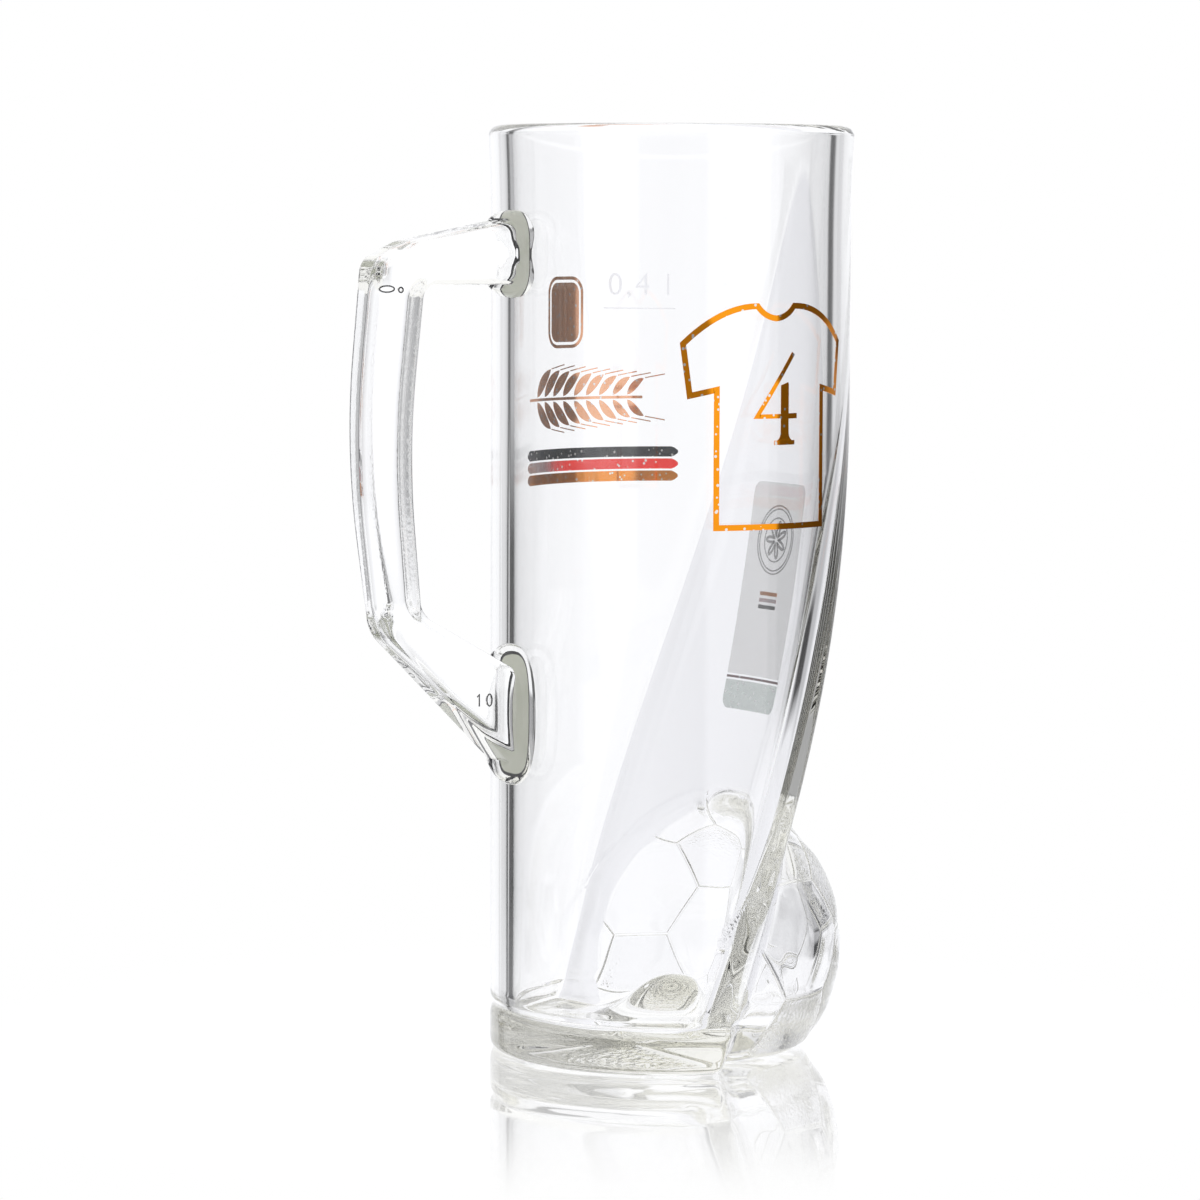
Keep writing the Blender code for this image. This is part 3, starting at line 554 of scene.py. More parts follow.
@dataclass
class Vessel:
    """The blown vessel: round wall, crowned sloping panel, hollow ball, foot and rim in one glass."""

    axis_x: float
    ball: Football
    height: float = 192.0 * MM
    radius: float = 37.2 * MM
    wall: float = 4.8 * MM
    floor: float = 7.0 * MM
    floor_round: float = 5.0 * MM
    rim_flare: float = 0.6 * MM
    flare_length: float = 25.0 * MM
    rim_height: float = 2.0 * MM
    foot_height: float = 9.6 * MM
    groove_depth: float = 0.7 * MM
    groove_reach: float = 1.1 * MM
    foot_edge: float = 2.2 * MM
    panel_foot_x: float = 2.6 * MM
    panel_tip_drop: float = 6.0 * MM
    panel_bow: float = 7.6 * MM
    crown_at_foot: float = 62.0 * MM
    crown_at_tip: float = 157.0 * MM
    panel_edge: float = 1.2 * MM
    inner_edge: float = 6.5 * MM
    front_turn: float = -2.5
    ball_x: float = 3.5 * MM
    ball_z: float = 21.8 * MM
    ball_wall: float = 5.5 * MM
    ball_floor_step: float = 1.0 * MM
    hollow_round: float = 6.0 * MM
    crease: float = 2.4 * MM
    inner_crease: float = 5.0 * MM
    heart_x: float = -5.0 * MM
    heart_z: float = 25.0 * MM
    knob_height: float = 9.0 * MM
    knob_reach: float = 10.0 * MM
    edge_limits: tuple = (9.0, 76.0)
    edge_fade: float = 6.0 * MM
    inner_edge_fade: float = 8.0 * MM
    columns: int = 330
    front_share: float = 0.6
    crowding: float = 0.6
    ray_length: float = 80.0 * MM
    halvings: int = 34
    outer_fan: tuple = ((-86.0, -44.0, 20), (-42.0, -0.6, 36))
    inner_fan: tuple = ((-86.0, -36.0, 30), (-34.0, -1.5, 24))
    outer_rows: tuple = (0.8 * MM, 54.5 * MM, 55.5 * MM, 46)
    inner_rows: tuple = (0.7 * MM, 60.5 * MM, 62.5 * MM, 38)
    rim_rows: int = 13
    ball_fade: float = 0.5 * MM
    skin: float = 0.1 * MM

    def panel_line(self, z: Array) -> tuple[Array, Array]:
        """Middle line of the panel and its slope: one arc from the foot to the tip under the rim.

        Args:
            z: Heights.

        Returns:
            Distance from the axis, and its change with height.
        """
        tip_z = self.height - self.panel_tip_drop
        chord_x, chord_z = self.radius - self.panel_foot_x, tip_z
        chord = math.hypot(chord_x, chord_z)
        radius = (chord * chord / 4.0 + self.panel_bow ** 2) / (2.0 * self.panel_bow)
        back = (radius - self.panel_bow) / chord
        centre_x = self.panel_foot_x + chord_x / 2.0 - chord_z * back
        centre_z = chord_z / 2.0 + chord_x * back
        rise = np.minimum(z, tip_z) - centre_z
        run = np.sqrt(radius * radius - rise * rise)
        return centre_x + run + np.maximum(z - tip_z, 0.0), -rise / run

    def crown(self, z: Array) -> Array:
        """Radius of the panel's crown at a height: it grows with the square of the height, flatter at the tip."""
        share = np.clip(z / (self.height - self.panel_tip_drop), 0.0, 1.0)
        return self.crown_at_foot + (self.crown_at_tip - self.crown_at_foot) * share ** 2

    def edge_heading(self, z: Array, inset: float) -> Array:
        """Heading of the panel's edge seen from the heart: where its crown's circle meets the wall's.

        Args:
            z: Heights.
            inset: How far the surface lies inside the outer one.

        Returns:
            Angle from the front, held between the tip's and the foot's.
        """
        line, slope = self.panel_line(z)
        wall, crown = self.radius - inset, self.crown(z) - inset
        centre = line - inset * np.hypot(1.0, slope) - crown
        cos = np.clip((wall ** 2 + centre ** 2 - crown ** 2) / (2.0 * wall * centre), -1.0, 1.0)
        heading = np.arctan2(wall * np.sqrt(1.0 - cos ** 2), wall * cos - self.heart_x)
        return np.clip(heading, *np.radians(self.edge_limits))

    def _flare(self, z: Array) -> Array:
        """How far the rim's flare carries the wall out at a height: the square of the rise into it."""
        return self.rim_flare * np.clip((z - self.height + self.flare_length) / self.flare_length, 0.0, 1.0) ** 2

    def _from_ball(self, point: Array) -> tuple[Array, Array]:
        """Distance of points from the ball's middle, and how far they stand off its panels."""
        away = point - np.array([self.ball_x, 0.0, self.ball_z])
        distance = np.linalg.norm(away, axis=-1)
        return distance, distance - self.ball.survey(away / distance[..., None])

    def outside(self, point: Array) -> Array:
        """Field of the outer surface, below nought inside: body or ball, cut flat at the table.

        Args:
            point: Positions about the mug's axis, of shape (..., 3).

        Returns:
            Signed distance, near enough.
        """
        x, y, z = point[..., 0], point[..., 1], point[..., 2]
        spread = self._flare(z) - self.groove_depth * np.exp(-(((z - self.foot_height) / self.groove_reach) ** 2))
        line, _ = self.panel_line(z)
        wall = np.hypot(x, y) - self.radius - spread
        crown = self.crown(z)
        front = np.hypot(x - line + crown, y) - crown - spread
        edge = self.panel_edge * smoothstep((self.radius - line) / self.edge_fade)
        solid = smooth_min(smooth_max(wall, front, edge), self._from_ball(point)[1], self.crease)
        return smooth_max(solid, -z, self.foot_edge)

    def inside(self, point: Array) -> Array:
        """Field of the cavity, below nought in the drink: body and ball hollow over their floors.

        Args:
            point: Positions about the mug's axis, of shape (..., 3).

        Returns:
            Signed distance, near enough.
        """
        x, y, z = point[..., 0], point[..., 1], point[..., 2]
        line, slope = self.panel_line(z)
        wall = np.hypot(x, y) - self.radius + self.wall - self._flare(z)
        crown = self.crown(z) - self.wall
        front = np.hypot(x - line + self.wall * np.hypot(1.0, slope) + crown, y) - crown
        edge = self.inner_edge * smoothstep((self.radius - line) / self.inner_edge_fade)
        floor = self.floor + self.knob_height * np.exp(-(x * x + y * y) / self.knob_reach ** 2)
        body = smooth_max(smooth_max(wall, front, edge), floor - z, self.floor_round)
        hollow = self._from_ball(point)[0] - self.ball.radius + self.ball_wall
        hollow = smooth_max(hollow, floor + self.ball_floor_step - z, self.hollow_round)
        return smooth_min(body, hollow, self.inner_crease)

    def _headings(self, edge: Array) -> Array:
        """Headings of the columns round the heart, crowded towards the panel's edges.

        Each half turn is a front and a back part that meet on the edge, so that one column
        follows it; in each the steps are drawn together at the ends by a sine.

        Args:
            edge: Heading of the edge for each row, of shape (rows, 1).

        Returns:
            Headings of shape (rows, columns).
        """
        half = np.arange(self.columns // 2) / (self.columns // 2)
        front, back = half / self.front_share, (half - self.front_share) / (1.0 - self.front_share)

        def eased(share: Array) -> Array:
            """Shares drawn together at both ends."""
            return share - self.crowding * np.sin(2.0 * math.pi * share) / (2.0 * math.pi)

        one = np.where(half < self.front_share, edge * eased(front), edge + (math.pi - edge) * eased(back))
        last = np.full_like(edge, math.pi)
        return np.concatenate([one, last, -one[:, :0:-1]], axis=1)

    def cast(self, field: Callable[[Array], Array], tilts: Array, levels: Array, inset: float) -> Array:
        """Meet a surface along rays: a fan from the heart downwards, then level rays up the axis.

        The fields are star-shaped about these rays, so halving each ray's span finds the
        one crossing.

        Args:
            field: Field that is below nought at the rays' starts.
            tilts: Angles of the fan, from steepest down to level.
            levels: Heights of the level rays.
            inset: How far the surface lies inside the outer one.

        Returns:
            Points of shape (fan and levels, columns, 3).
        """
        edges = self.edge_heading(np.concatenate([np.zeros(len(tilts)), levels]), inset)
        heading = self._headings(edges[:, None])
        tilt = np.concatenate([tilts, np.zeros(len(levels))])[:, None]
        start_z = np.concatenate([np.full(len(tilts), self.heart_z), levels])[:, None]
        ray = np.stack(np.broadcast_arrays(np.cos(tilt) * np.cos(heading), np.cos(tilt) * np.sin(heading),
                                           np.sin(tilt)), axis=-1)
        start = np.stack(np.broadcast_arrays(self.heart_x, 0.0, start_z + 0.0 * heading), axis=-1)
        near = np.zeros(ray.shape[:2])
        far = np.full(ray.shape[:2], self.ray_length)
        for _ in range(self.halvings):
            middle = (near + far) / 2.0
            within = field(start + ray * middle[..., None]) < 0.0
            near = np.where(within, middle, near)
            far = np.where(within, far, middle)
        return start + ray * near[..., None]

    @staticmethod
    def steepest(field: Callable[[Array], Array], points: Array, step: float = 0.02 * MM) -> Array:
        """Unit direction in which a field grows fastest, from its change over a small step each way."""
        shifts = step * np.eye(3)
        change = np.stack([field(points + shift) - field(points - shift) for shift in shifts], axis=-1)
        return change / np.linalg.norm(change, axis=-1, keepdims=True)

    def surface(self) -> tuple[Array, list, Array]:
        """The whole skin: outside upwards, over the rounded rim, and down the inside.

        Returns:
            Points about the mug's axis, their faces, and their normals, nought along the rim.
        """
        shoulder = self.height - self.rim_height

        def tilts(fan: tuple) -> Array:
            """Angles of a fan from its spans."""
            return np.radians(np.concatenate([np.linspace(*span) for span in fan]))

        def levels(step: float, fine_end: float, coarse_start: float, count: int) -> Array:
            """Heights of the level rows: fine past the ball, then even up to the rim."""
            return np.concatenate([np.arange(self.heart_z, fine_end, step), np.linspace(coarse_start, shoulder, count)])

        outer = self.cast(self.outside, tilts(self.outer_fan), levels(*self.outer_rows), 0.0)
        inner = self.cast(self.inside, tilts(self.inner_fan), levels(*self.inner_rows), self.wall)
        middle = (outer[-1] + inner[-1]) / 2.0
        half = (outer[-1] - inner[-1]) / 2.0
        turn = np.linspace(0.0, math.pi, self.rim_rows)[1:-1, None, None]
        rim = middle + half * np.cos(turn) + np.array([0.0, 0.0, self.rim_height]) * np.sin(turn)
        rings = np.concatenate([outer, rim, inner[::-1]])
        down = np.full(1, -math.pi / 2.0)
        poles = np.stack([self.cast(field, down, down[:0], 0.0)[0, 0] for field in (self.outside, self.inside)])
        faces = capped_faces(len(rings), self.columns)
        normals = [self.steepest(self.outside, outer), np.zeros_like(rim), -self.steepest(self.inside, inner[::-1])]
        normals = np.concatenate([np.concatenate(normals).reshape(-1, 3), [[0.0, 0.0, -1.0], [0.0, 0.0, 1.0]]])
        return np.concatenate([rings.reshape(-1, 3), poles]), faces, normals

    def ball_middle(self) -> Vector:
        """Middle of the ball in the frame."""
        return Vector(turned(np.array([self.ball_x, 0.0, self.ball_z]), self.front_turn) + [self.axis_x, 0.0, 0.0])

    def build(self, finish: GlassFinish) -> bpy.types.Object:
        """Make the vessel and mark its ball and its panel.

        Args:
            finish: Its glass.

        Returns:
            The vessel.
        """
        points, faces, normals = self.surface()
        x, y, z = points.T
        off_ball = self._from_ball(points)[1]
        on_ball = (1.0 - smoothstep(np.abs(off_ball) / self.ball_fade)) * smoothstep((z - MM) / MM)
        line, _ = self.panel_line(z)
        crown = self.crown(z)
        lead = np.hypot(x - line + crown, y) - crown - np.hypot(x, y) + self.radius
        outer = np.abs(self.outside(points)) < self.skin
        # The panel mask tells the glass finish where to paint its grey shade.
        on_panel = np.where(outer & (z < self.height - self.rim_height), np.minimum(lead, off_ball), -MM)
        place = turned(points, self.front_turn) + [self.axis_x, 0.0, 0.0]
        piece = add_piece("vessel_glass", place, faces, finish.material(), crisp=False)
        add_masks(piece, {"stipple": on_ball, "panel": on_panel})
        piece.data.normals_split_custom_set_from_vertices(turned(normals, self.front_turn).tolist())
        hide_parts("vessel")
        return piece


@dataclass
class Handle:
    """The pressed handle: a flat-sided bar that swells into a squeezed pad at each weld."""

    axis_x: float
    wall_radius: float = 37.2 * MM
    gap: float = 0.25 * MM
    width: float = 12.6 * MM
    edge: float = 2.4 * MM
    inside: float = 65.2 * MM
    thickness: float = 9.6 * MM
    bow: float = 3.6 * MM
    upper_under: float = 159.6 * MM
    upper_at_wall: float = 13.6 * MM
    upper_at_grip: float = 8.8 * MM
    lower_at_wall: float = 58.6 * MM
    lower_depth: float = 21.4 * MM
    lower_corner: float = 94.0 * MM
    heel_drop: float = 4.2 * MM
    pad_width: float = 15.0 * MM
    pad_proud: float = 4.2 * MM
    pads: tuple = ((156.8 * MM, 174.6 * MM), (57.5 * MM, 86.5 * MM))
    pad_bluntness: float = 2.8
    pad_bead: float = 1.0 * MM
    pad_waists: tuple = (0.22, 0.0)
    pad_steps: int = 9
    waist_reach: float = 0.4
    bead_heights: tuple = (0.75, 0.5, 0.25, 0.0)
    bead_tucks: tuple = (0.995, 0.98, 0.95, 0.9)
    scar_widths: tuple = (0.54, 0.5, 0.49, 0.36, 0.2, 0.08)
    scar_heights: tuple = (0.8, 0.77, 0.76, 0.58, 0.3, 0.1)
    scar_strips: tuple = (9, 10, 12, 13, 14, 15, 16)
    # Rings that carry the weld finish's painted shade.
    shade_rings: tuple = (9, 10, 11, 12, 13)
    shoulder_round: float = 8.0 * MM
    corner_round: float = 4.5 * MM
    grip_round: float = 160.0 * MM
    finger_rounds: tuple = (3.0 * MM, 5.0 * MM)
    upper_slope: float = 0.17
    heel_slope: float = 0.98
    inner_slope_reach: float = 15.4 * MM
    arc_steps: int = 14
    rough_span: tuple = (97.0 * MM, 158.0 * MM)
    rough_fade: float = 4.0 * MM
    rough_inset: float = 3.0 * MM
    rough_blend: float = 1.5 * MM

    @staticmethod
    def rounded_line(corners: list[tuple[float, float, float]], steps: int) -> Array:
        """Line through corners given as (x, z, radius), each turned on a tangent arc.

        Args:
            corners: Corners in order; a radius of nought keeps the point itself.
            steps: Points to an arc, less one.

        Returns:
            Points of shape (points, 2).
        """
        spots = np.array([corner[:2] for corner in corners])
        line = [spots[:1]]
        for i in range(1, len(corners) - 1):
            back = spots[i - 1] - spots[i]
            ahead = spots[i + 1] - spots[i]
            back, ahead = back / np.linalg.norm(back), ahead / np.linalg.norm(ahead)
            half = math.acos(float(np.clip(back @ ahead, -1.0, 1.0))) / 2.0
            middle = back + ahead
            centre = spots[i] + middle / np.linalg.norm(middle) * corners[i][2] / math.sin(half)
            first = spots[i] + back * corners[i][2] / math.tan(half) - centre
            last = spots[i] + ahead * corners[i][2] / math.tan(half) - centre
            start = math.atan2(first[1], first[0])
            turn = (math.atan2(last[1], last[0]) - start + math.pi) % (2.0 * math.pi) - math.pi
            angle = np.linspace(start, start + turn, steps + 1)
            line.append(centre + corners[i][2] * np.stack([np.cos(angle), np.sin(angle)], axis=1))
        return np.concatenate(line + [spots[-1:]])

    def sides(self) -> tuple[Array, Array]:
        """Outer and inner side lines in X and Z, matched point for point from weld to weld."""
        root = -self.wall_radius - self.pad_proud
        inside, outside = -self.inside, -self.inside - self.thickness
        under, low = self.upper_under, self.lower_corner
        shoulder, heel, middle = under + self.upper_at_grip, low - self.heel_drop, (under + low) / 2.0
        reach = self.inside - self.wall_radius
        upper = under + self.upper_at_wall - self.pad_proud * self.upper_slope
        outer = [(root, upper, 0.0), (inside + self.bow / 2.0, shoulder, self.shoulder_round),
                 (outside + self.bow, shoulder - self.bow, self.corner_round), (outside, middle, self.grip_round),
                 (outside + 1.5 * self.bow, heel, self.shoulder_round),
                 (root, self.lower_at_wall + self.pad_proud * self.heel_slope, 0.0)]
        inner_root = self.lower_at_wall + self.lower_depth + self.pad_proud * self.inner_slope_reach / reach
        top_round, low_round = self.finger_rounds
        first = [(root, under, 0.0), (inside + self.bow, under, top_round), (inside, middle, 0.0)]
        second = [(inside + self.bow, under, 0.0), (inside, middle, self.grip_round),
                  (inside + 0.8 * self.bow, low, low_round), (root, inner_root, 0.0)]
        steps = self.arc_steps
        inner = np.concatenate([self.rounded_line(first, 2 * steps + 1)[:-1], self.rounded_line(second, steps)[1:]])
        return self.rounded_line(outer, steps), inner

    def build(self, finish: GlassFinish, weld: bpy.types.Material) -> bpy.types.Object:
        """Carry a round-edged box section along the side lines and end it in two pads on the wall.

        Args:
            finish: Its glass.
            weld: Material of the fused ends.

        Returns:
            The handle.
        """
        outer, inner = self.sides()
        outer, inner = self._refined(outer), self._refined(inner)
        angle, side_a, side_b = self._section()
        middle, span = (outer + inner) / 2.0, outer - inner
        length = np.linalg.norm(span, axis=1)
        along = span / length[:, None]
        a = side_a * (length[:, None] / 2.0 - self.edge) + self.edge * np.cos(angle)
        b = side_b * (self.width / 2.0 - self.edge) + self.edge * np.sin(angle)
        bar = np.stack([middle[:, :1] + along[:, :1] * a, np.broadcast_to(b, a.shape),
                        middle[:, 1:] + along[:, 1:] * a], axis=-1)
        upper = self._pad(bar[0], self.pads[0], self.pad_waists[0])
        lower = self._pad(bar[-1], self.pads[1], self.pad_waists[1])
        rings = np.concatenate([upper[::-1], bar, lower])
        rows, columns = rings.shape[:2]
        poles = np.stack([upper[-1].mean(axis=0), lower[-1].mean(axis=0)])
        poles[:, 0] = -(self.wall_radius + self.gap)
        points = np.concatenate([rings.reshape(-1, 3), poles]) + [self.axis_x, 0.0, 0.0]
        piece = add_piece("handle_glass", points, capped_faces(rows, columns), finish.material())
        piece.data.materials.append(weld)
        strips, seams, pad = np.array(self.scar_strips), np.array(self.shade_rings), len(upper)
        fused = np.zeros((rows - 1, columns), dtype=np.int32)
        fused[pad - 2 - strips] = fused[rows - pad + strips] = 1
        fused = np.concatenate([fused.ravel(), np.ones(2 * columns, dtype=np.int32)])
        piece.data.polygons.foreach_set("material_index", fused)
        # Mask of the rings where the weld finish paints its near-black shade.
        dark = np.zeros((rows, columns))
        dark[pad - 1 - seams] = dark[rows - pad + seams] = 1.0
        dark = np.concatenate([dark.ravel(), [0.0, 0.0]])
        add_masks(piece, {"stipple": self._rough(rings, pad, len(bar)), "weld": dark})
        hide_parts("handle")
        return piece

    def _rough(self, rings: Array, first: int, count: int) -> Array:
        """Mask of the mould's rough face, the grip's inner side.

        Args:
            rings: All rings of the handle.
            first: Number of the bar's first ring.
            count: Number of rings in the bar.

        Returns:
            One value for each point, the two poles included.
        """
        x, z = rings[..., 0], rings[..., 2]
        low, high = self.rough_span
        grip = smoothstep((z - low) / self.rough_fade) * smoothstep((high - z) / self.rough_fade)
        middle = x.mean(axis=1, keepdims=True)
        inward = smoothstep((x - middle - self.rough_inset) / self.rough_blend)
        mask = grip * inward
        mask[:first] = mask[first + count:] = 0.0
        return np.concatenate([mask.ravel(), [0.0, 0.0]])

    @staticmethod
    def _section() -> tuple[Array, Array, Array]:
        """Round-edged box section: turn of each corner's arc, and the corner's side, with points along the flats.

        Returns:
            Angle on the corner's arc, and the two shares of the way to the box's sides.
        """
        quarter, flat = np.linspace(0.0, math.pi / 2.0, 8), np.linspace(1.0, -1.0, 8)[1:-1]
        angles, a, b = [], [], []
        sides = ((1.0, 1.0), (-1.0, 1.0), (-1.0, -1.0), (1.0, -1.0))
        for k, (here, there) in enumerate(zip(sides, sides[1:] + sides[:1])):
            angles += [quarter + k * math.pi / 2.0, np.full(len(flat), (k + 1) * math.pi / 2.0)]
            for held, (first, last) in zip((a, b), zip(here, there)):
                held += [np.full(len(quarter), first), first + (last - first) * (1.0 - flat) / 2.0]
        return np.concatenate(angles), np.concatenate(a), np.concatenate(b)

    @staticmethod
    def _refined(line: Array) -> Array:
        """A side line with its long spans cut in four, so that the bar is evenly meshed."""
        share = np.arange(0.0, len(line) - 1 + 1e-9, 0.25)
        step = np.arange(len(line))
        return np.stack([np.interp(share, step, line[:, 0]), np.interp(share, step, line[:, 1])], axis=1)

    def _pad(self, ring: Array, reach: tuple[float, float], waist: float) -> Array:
        """Rings from the bar's end over a quarter-round step to a bead at the wall, and in across the weld.

        The foot's outline is a blunt oval, a sum of powers of cosine and sine, drawn in at half height.

        Args:
            ring: The bar's last ring.
            reach: Lowest and highest point of the pad.
            waist: Share of its width by which it is drawn in.

        Returns:
            Rings of shape (rings, columns, 3), the last one small.
        """
        low, high = ring[:, 2].min(), ring[:, 2].max()
        middle, tall = (reach[0] + reach[1]) / 2.0, (reach[1] - reach[0]) / 2.0
        heading = np.arctan2((2.0 * ring[:, 2] - low - high) / (high - low), 2.0 * ring[:, 1] / self.width)
        cos, sin = np.cos(heading), np.sin(heading)
        power = self.pad_bluntness
        size = (np.abs(cos) ** power + np.abs(sin) ** power) ** (-1.0 / power)
        foot_y, foot_z = size * cos * self.pad_width / 2.0, middle + size * sin * tall
        foot_y *= 1.0 - waist * np.exp(-((size * sin / self.waist_reach) ** 2))
        turn = np.linspace(0.0, math.pi / 2.0, self.pad_steps)[1:, None]
        bead, tucks = np.array(self.bead_heights)[:, None], np.array(self.bead_tucks)[:, None]
        left = np.concatenate([self.pad_bead + np.cos(turn) * (self.pad_proud - self.pad_bead), self.pad_bead * bead])
        tuck = np.concatenate([np.ones_like(turn), tucks])
        swell = np.concatenate([np.sin(turn), np.ones_like(bead)])
        y = ring[:, 1] + swell * (foot_y * tuck - ring[:, 1])
        z = ring[:, 2] + swell * (middle + (foot_z - middle) * tuck - ring[:, 2])
        x = -np.sqrt((self.wall_radius + self.gap) ** 2 - y ** 2) - left
        outer = np.stack([x, y, z], axis=-1)
        in_y = size * cos * self.pad_width / 2.0 * np.array(self.scar_widths)[:, None]
        in_z = middle + (foot_z - middle) * np.array(self.scar_heights)[:, None]
        in_x = -np.sqrt((self.wall_radius + self.gap) ** 2 - in_y ** 2)
        return np.concatenate([outer, np.stack([in_x, in_y, in_z], axis=-1)])


@dataclass
class Ground:
    """Where prints lie: the round wall about an azimuth, or the crowned front panel."""

    vessel: Vessel
    lift: float = 0.06 * MM
    coat: float = 0.08 * MM

    def on_wall(self, azimuth: float, level: float) -> Lay:
        """Laying of a flat drawing on the wall, its middle at an azimuth and its foot at a level.

        Args:
            azimuth: Heading of the drawing's middle, in degrees.
            level: Height of the drawing's zero.

        Returns:
            A function of distance along the wall, height and lift off the glass.
        """
        def lay(along: Array, up: Array, lift: float) -> Array:
            """Round the wall."""
            turn = math.radians(azimuth) + along / self.vessel.radius
            radius = self.vessel.radius + self.lift + lift
            return np.stack([self.vessel.axis_x + radius * np.cos(turn), radius * np.sin(turn), level + up], axis=-1)
        return lay

    def on_panel(self, level: float) -> Lay:
        """Laying of a flat drawing on the panel, its middle on the middle line.

        Args:
            level: Height of the drawing's zero.

        Returns:
            A function of distance across the panel, height and lift off the glass.
        """
        def lay(along: Array, up: Array, lift: float) -> Array:
            """Over the panel's crown."""
            z = level + up
            line, slope = self.vessel.panel_line(z)
            crown = self.vessel.crown(z)
            x = line - crown + np.sqrt(crown ** 2 - along ** 2)
            out = (self.lift + lift) / np.hypot(1.0, slope)
            place = np.stack([x + out, along, z - slope * out], axis=-1)
            return turned(place, self.vessel.front_turn) + [self.vessel.axis_x, 0.0, 0.0]
        return lay

    def ribbon(self, path: Array, half: Array | float, lay: Lay, closed: bool = False) -> tuple[Array, list]:
        """A flat band of colour along a path, as a thin closed shell laid on the glass.

        Its two edges lie half its width to each side of the path, along mitred normals.

        Args:
            path: Points along and up, of shape (points, 2).
            half: Half the band's width, one value or one for each point.
            lay: Where it lies.
            closed: Whether the path runs back to its start.

        Returns:
            Points and faces of the shell.
        """
        step = np.roll(path, -1, axis=0) - path
        step /= np.maximum(np.linalg.norm(step, axis=1, keepdims=True), 1e-12)
        if not closed:
            step[-1] = step[-2]
        before = np.roll(step, 1, axis=0)
        if not closed:
            before[0] = step[0]
        normal = np.stack([-(step + before)[:, 1], (step + before)[:, 0]], axis=1)
        normal /= np.maximum(np.linalg.norm(normal, axis=1, keepdims=True), 1e-9)
        mitre = np.clip(normal[:, 1] * step[:, 0] - normal[:, 0] * step[:, 1], 0.5, 1.0)
        side = normal * (np.broadcast_to(half, len(path)) / mitre)[:, None]
        left, right = path + side, path - side
        rails = np.stack([lay(*left.T, 0.0), lay(*right.T, 0.0), lay(*right.T, self.coat), lay(*left.T, self.coat)],
                         axis=1)
        count = len(path)
        faces = ring_faces(count, 4).tolist()
        if closed:
            first, last = np.arange(4), 4 * (count - 1) + np.arange(4)
            faces += np.stack([last, np.roll(last, -1), np.roll(first, -1), first], axis=-1).tolist()
        else:
            faces += [[3, 2, 1, 0], list(range(4 * count - 4, 4 * count))]
        return rails.reshape(-1, 3), faces

    def field(self, outline: Outline, length: float, lay: Lay, across: int = 13) -> tuple[Array, list]:
        """A filled area between a left and a right edge, as a thin closed shell laid on the glass.

        Args:
            outline: Left and right edge for heights given as an array.
            length: The area's height.
            lay: Where it lies.
            across: Points across.

        Returns:
            Points and faces of the shell.
        """
        turn = np.linspace(0.0, math.pi, 33)
        up = length * (1.0 - np.cos(turn)) / 2.0
        left, right = outline(up)
        share = np.linspace(0.0, 1.0, across)
        along = left[:, None] + (right - left)[:, None] * share
        height = np.broadcast_to(up[:, None], along.shape)
        low = lay(along, height, 0.0)
        top = lay(along, height, self.coat)
        loop = np.concatenate([low, top[:, ::-1]], axis=1)
        rows, columns = loop.shape[:2]
        faces = ring_faces(rows, columns).tolist()
        index = np.arange(rows * columns).reshape(rows, columns)
        for row, first in ((index[0], True), (index[-1], False)):
            under, over = row[:across], row[across:][::-1]
            pairs = np.stack([under[:-1], under[1:], over[1:], over[:-1]], axis=-1)
            faces += (pairs[:, ::-1] if first else pairs).tolist()
        return loop.reshape(-1, 3), faces


def joined(parts: list[tuple[Array, list]]) -> tuple[Array, list]:
    """Several shells as one set of points and faces."""
    points, faces, start = [], [], 0
    for part_points, part_faces in parts:
        points.append(part_points)
        faces += [[start + i for i in face] for face in part_faces]
        start += len(part_points)
    return np.concatenate(points), faces


def straight(corners: list[tuple[float, float]], closed: bool = False, step: float = 0.7 * MM) -> Array:
    """Points along straight runs between corners, no further apart than a step."""
    spots = np.array(corners + corners[:1] if closed else corners)
    runs = []
    for first, last in zip(spots, spots[1:]):
        count = max(1, math.ceil(float(np.linalg.norm(last - first)) / step))
        runs.append(first + (last - first) * np.linspace(0.0, 1.0, count, endpoint=False)[:, None])
    return np.concatenate(runs if closed else runs + [spots[-1:]])


def bent(first: tuple[float, float], pull: tuple[float, float], last: tuple[float, float], count: int = 12) -> list:
    """Corners along a curve pulled towards a point: a quadratic blend of the three, end left out."""
    t = np.linspace(0.0, 1.0, count, endpoint=False)[:, None]
    curve = (1 - t) ** 2 * np.array(first) + 2 * t * (1 - t) * np.array(pull) + t * t * np.array(last)
    return [tuple(point) for point in curve]


def box_line(width: float, height: float, corner: float) -> Array:
    """Closed line of an upright box about the origin, with round corners."""
    turn = np.linspace(0.0, math.pi / 2.0, 8)
    arcs = []
    for k, (sx, sy) in enumerate(((1, 1), (-1, 1), (-1, -1), (1, -1))):
        angle = turn + k * math.pi / 2.0
        arcs.append(np.stack([sx * (width / 2 - corner) + corner * np.cos(angle),
                              sy * (height / 2 - corner) + corner * np.sin(angle)], axis=1))
    return straight([tuple(point) for point in np.concatenate(arcs)], closed=True)


def box_edges(width: float, height: float, corner: float, low: bool = True, high: bool = True) -> Outline:
    """Left and right edge of an upright box by height, with round corners at its low and high end.

    Args:
        width: Its width.
        height: Its height.
        corner: Radius of its corners.
        low: Whether the lower corners are round.
        high: Whether the upper corners are round.

    Returns:
        A function of heights that gives both edges.
    """
    def outline(up: Array) -> tuple[Array, Array]:
        """Both edges at these heights."""
        to_low = up if low else np.full_like(up, corner)
        to_high = height - up if high else np.full_like(up, corner)
        into = np.clip(corner - np.minimum(to_low, to_high), 0.0, corner)
        reach = width / 2 - corner + np.sqrt(np.maximum(corner ** 2 - into ** 2, 0.0))
        return -reach, reach
    return outline


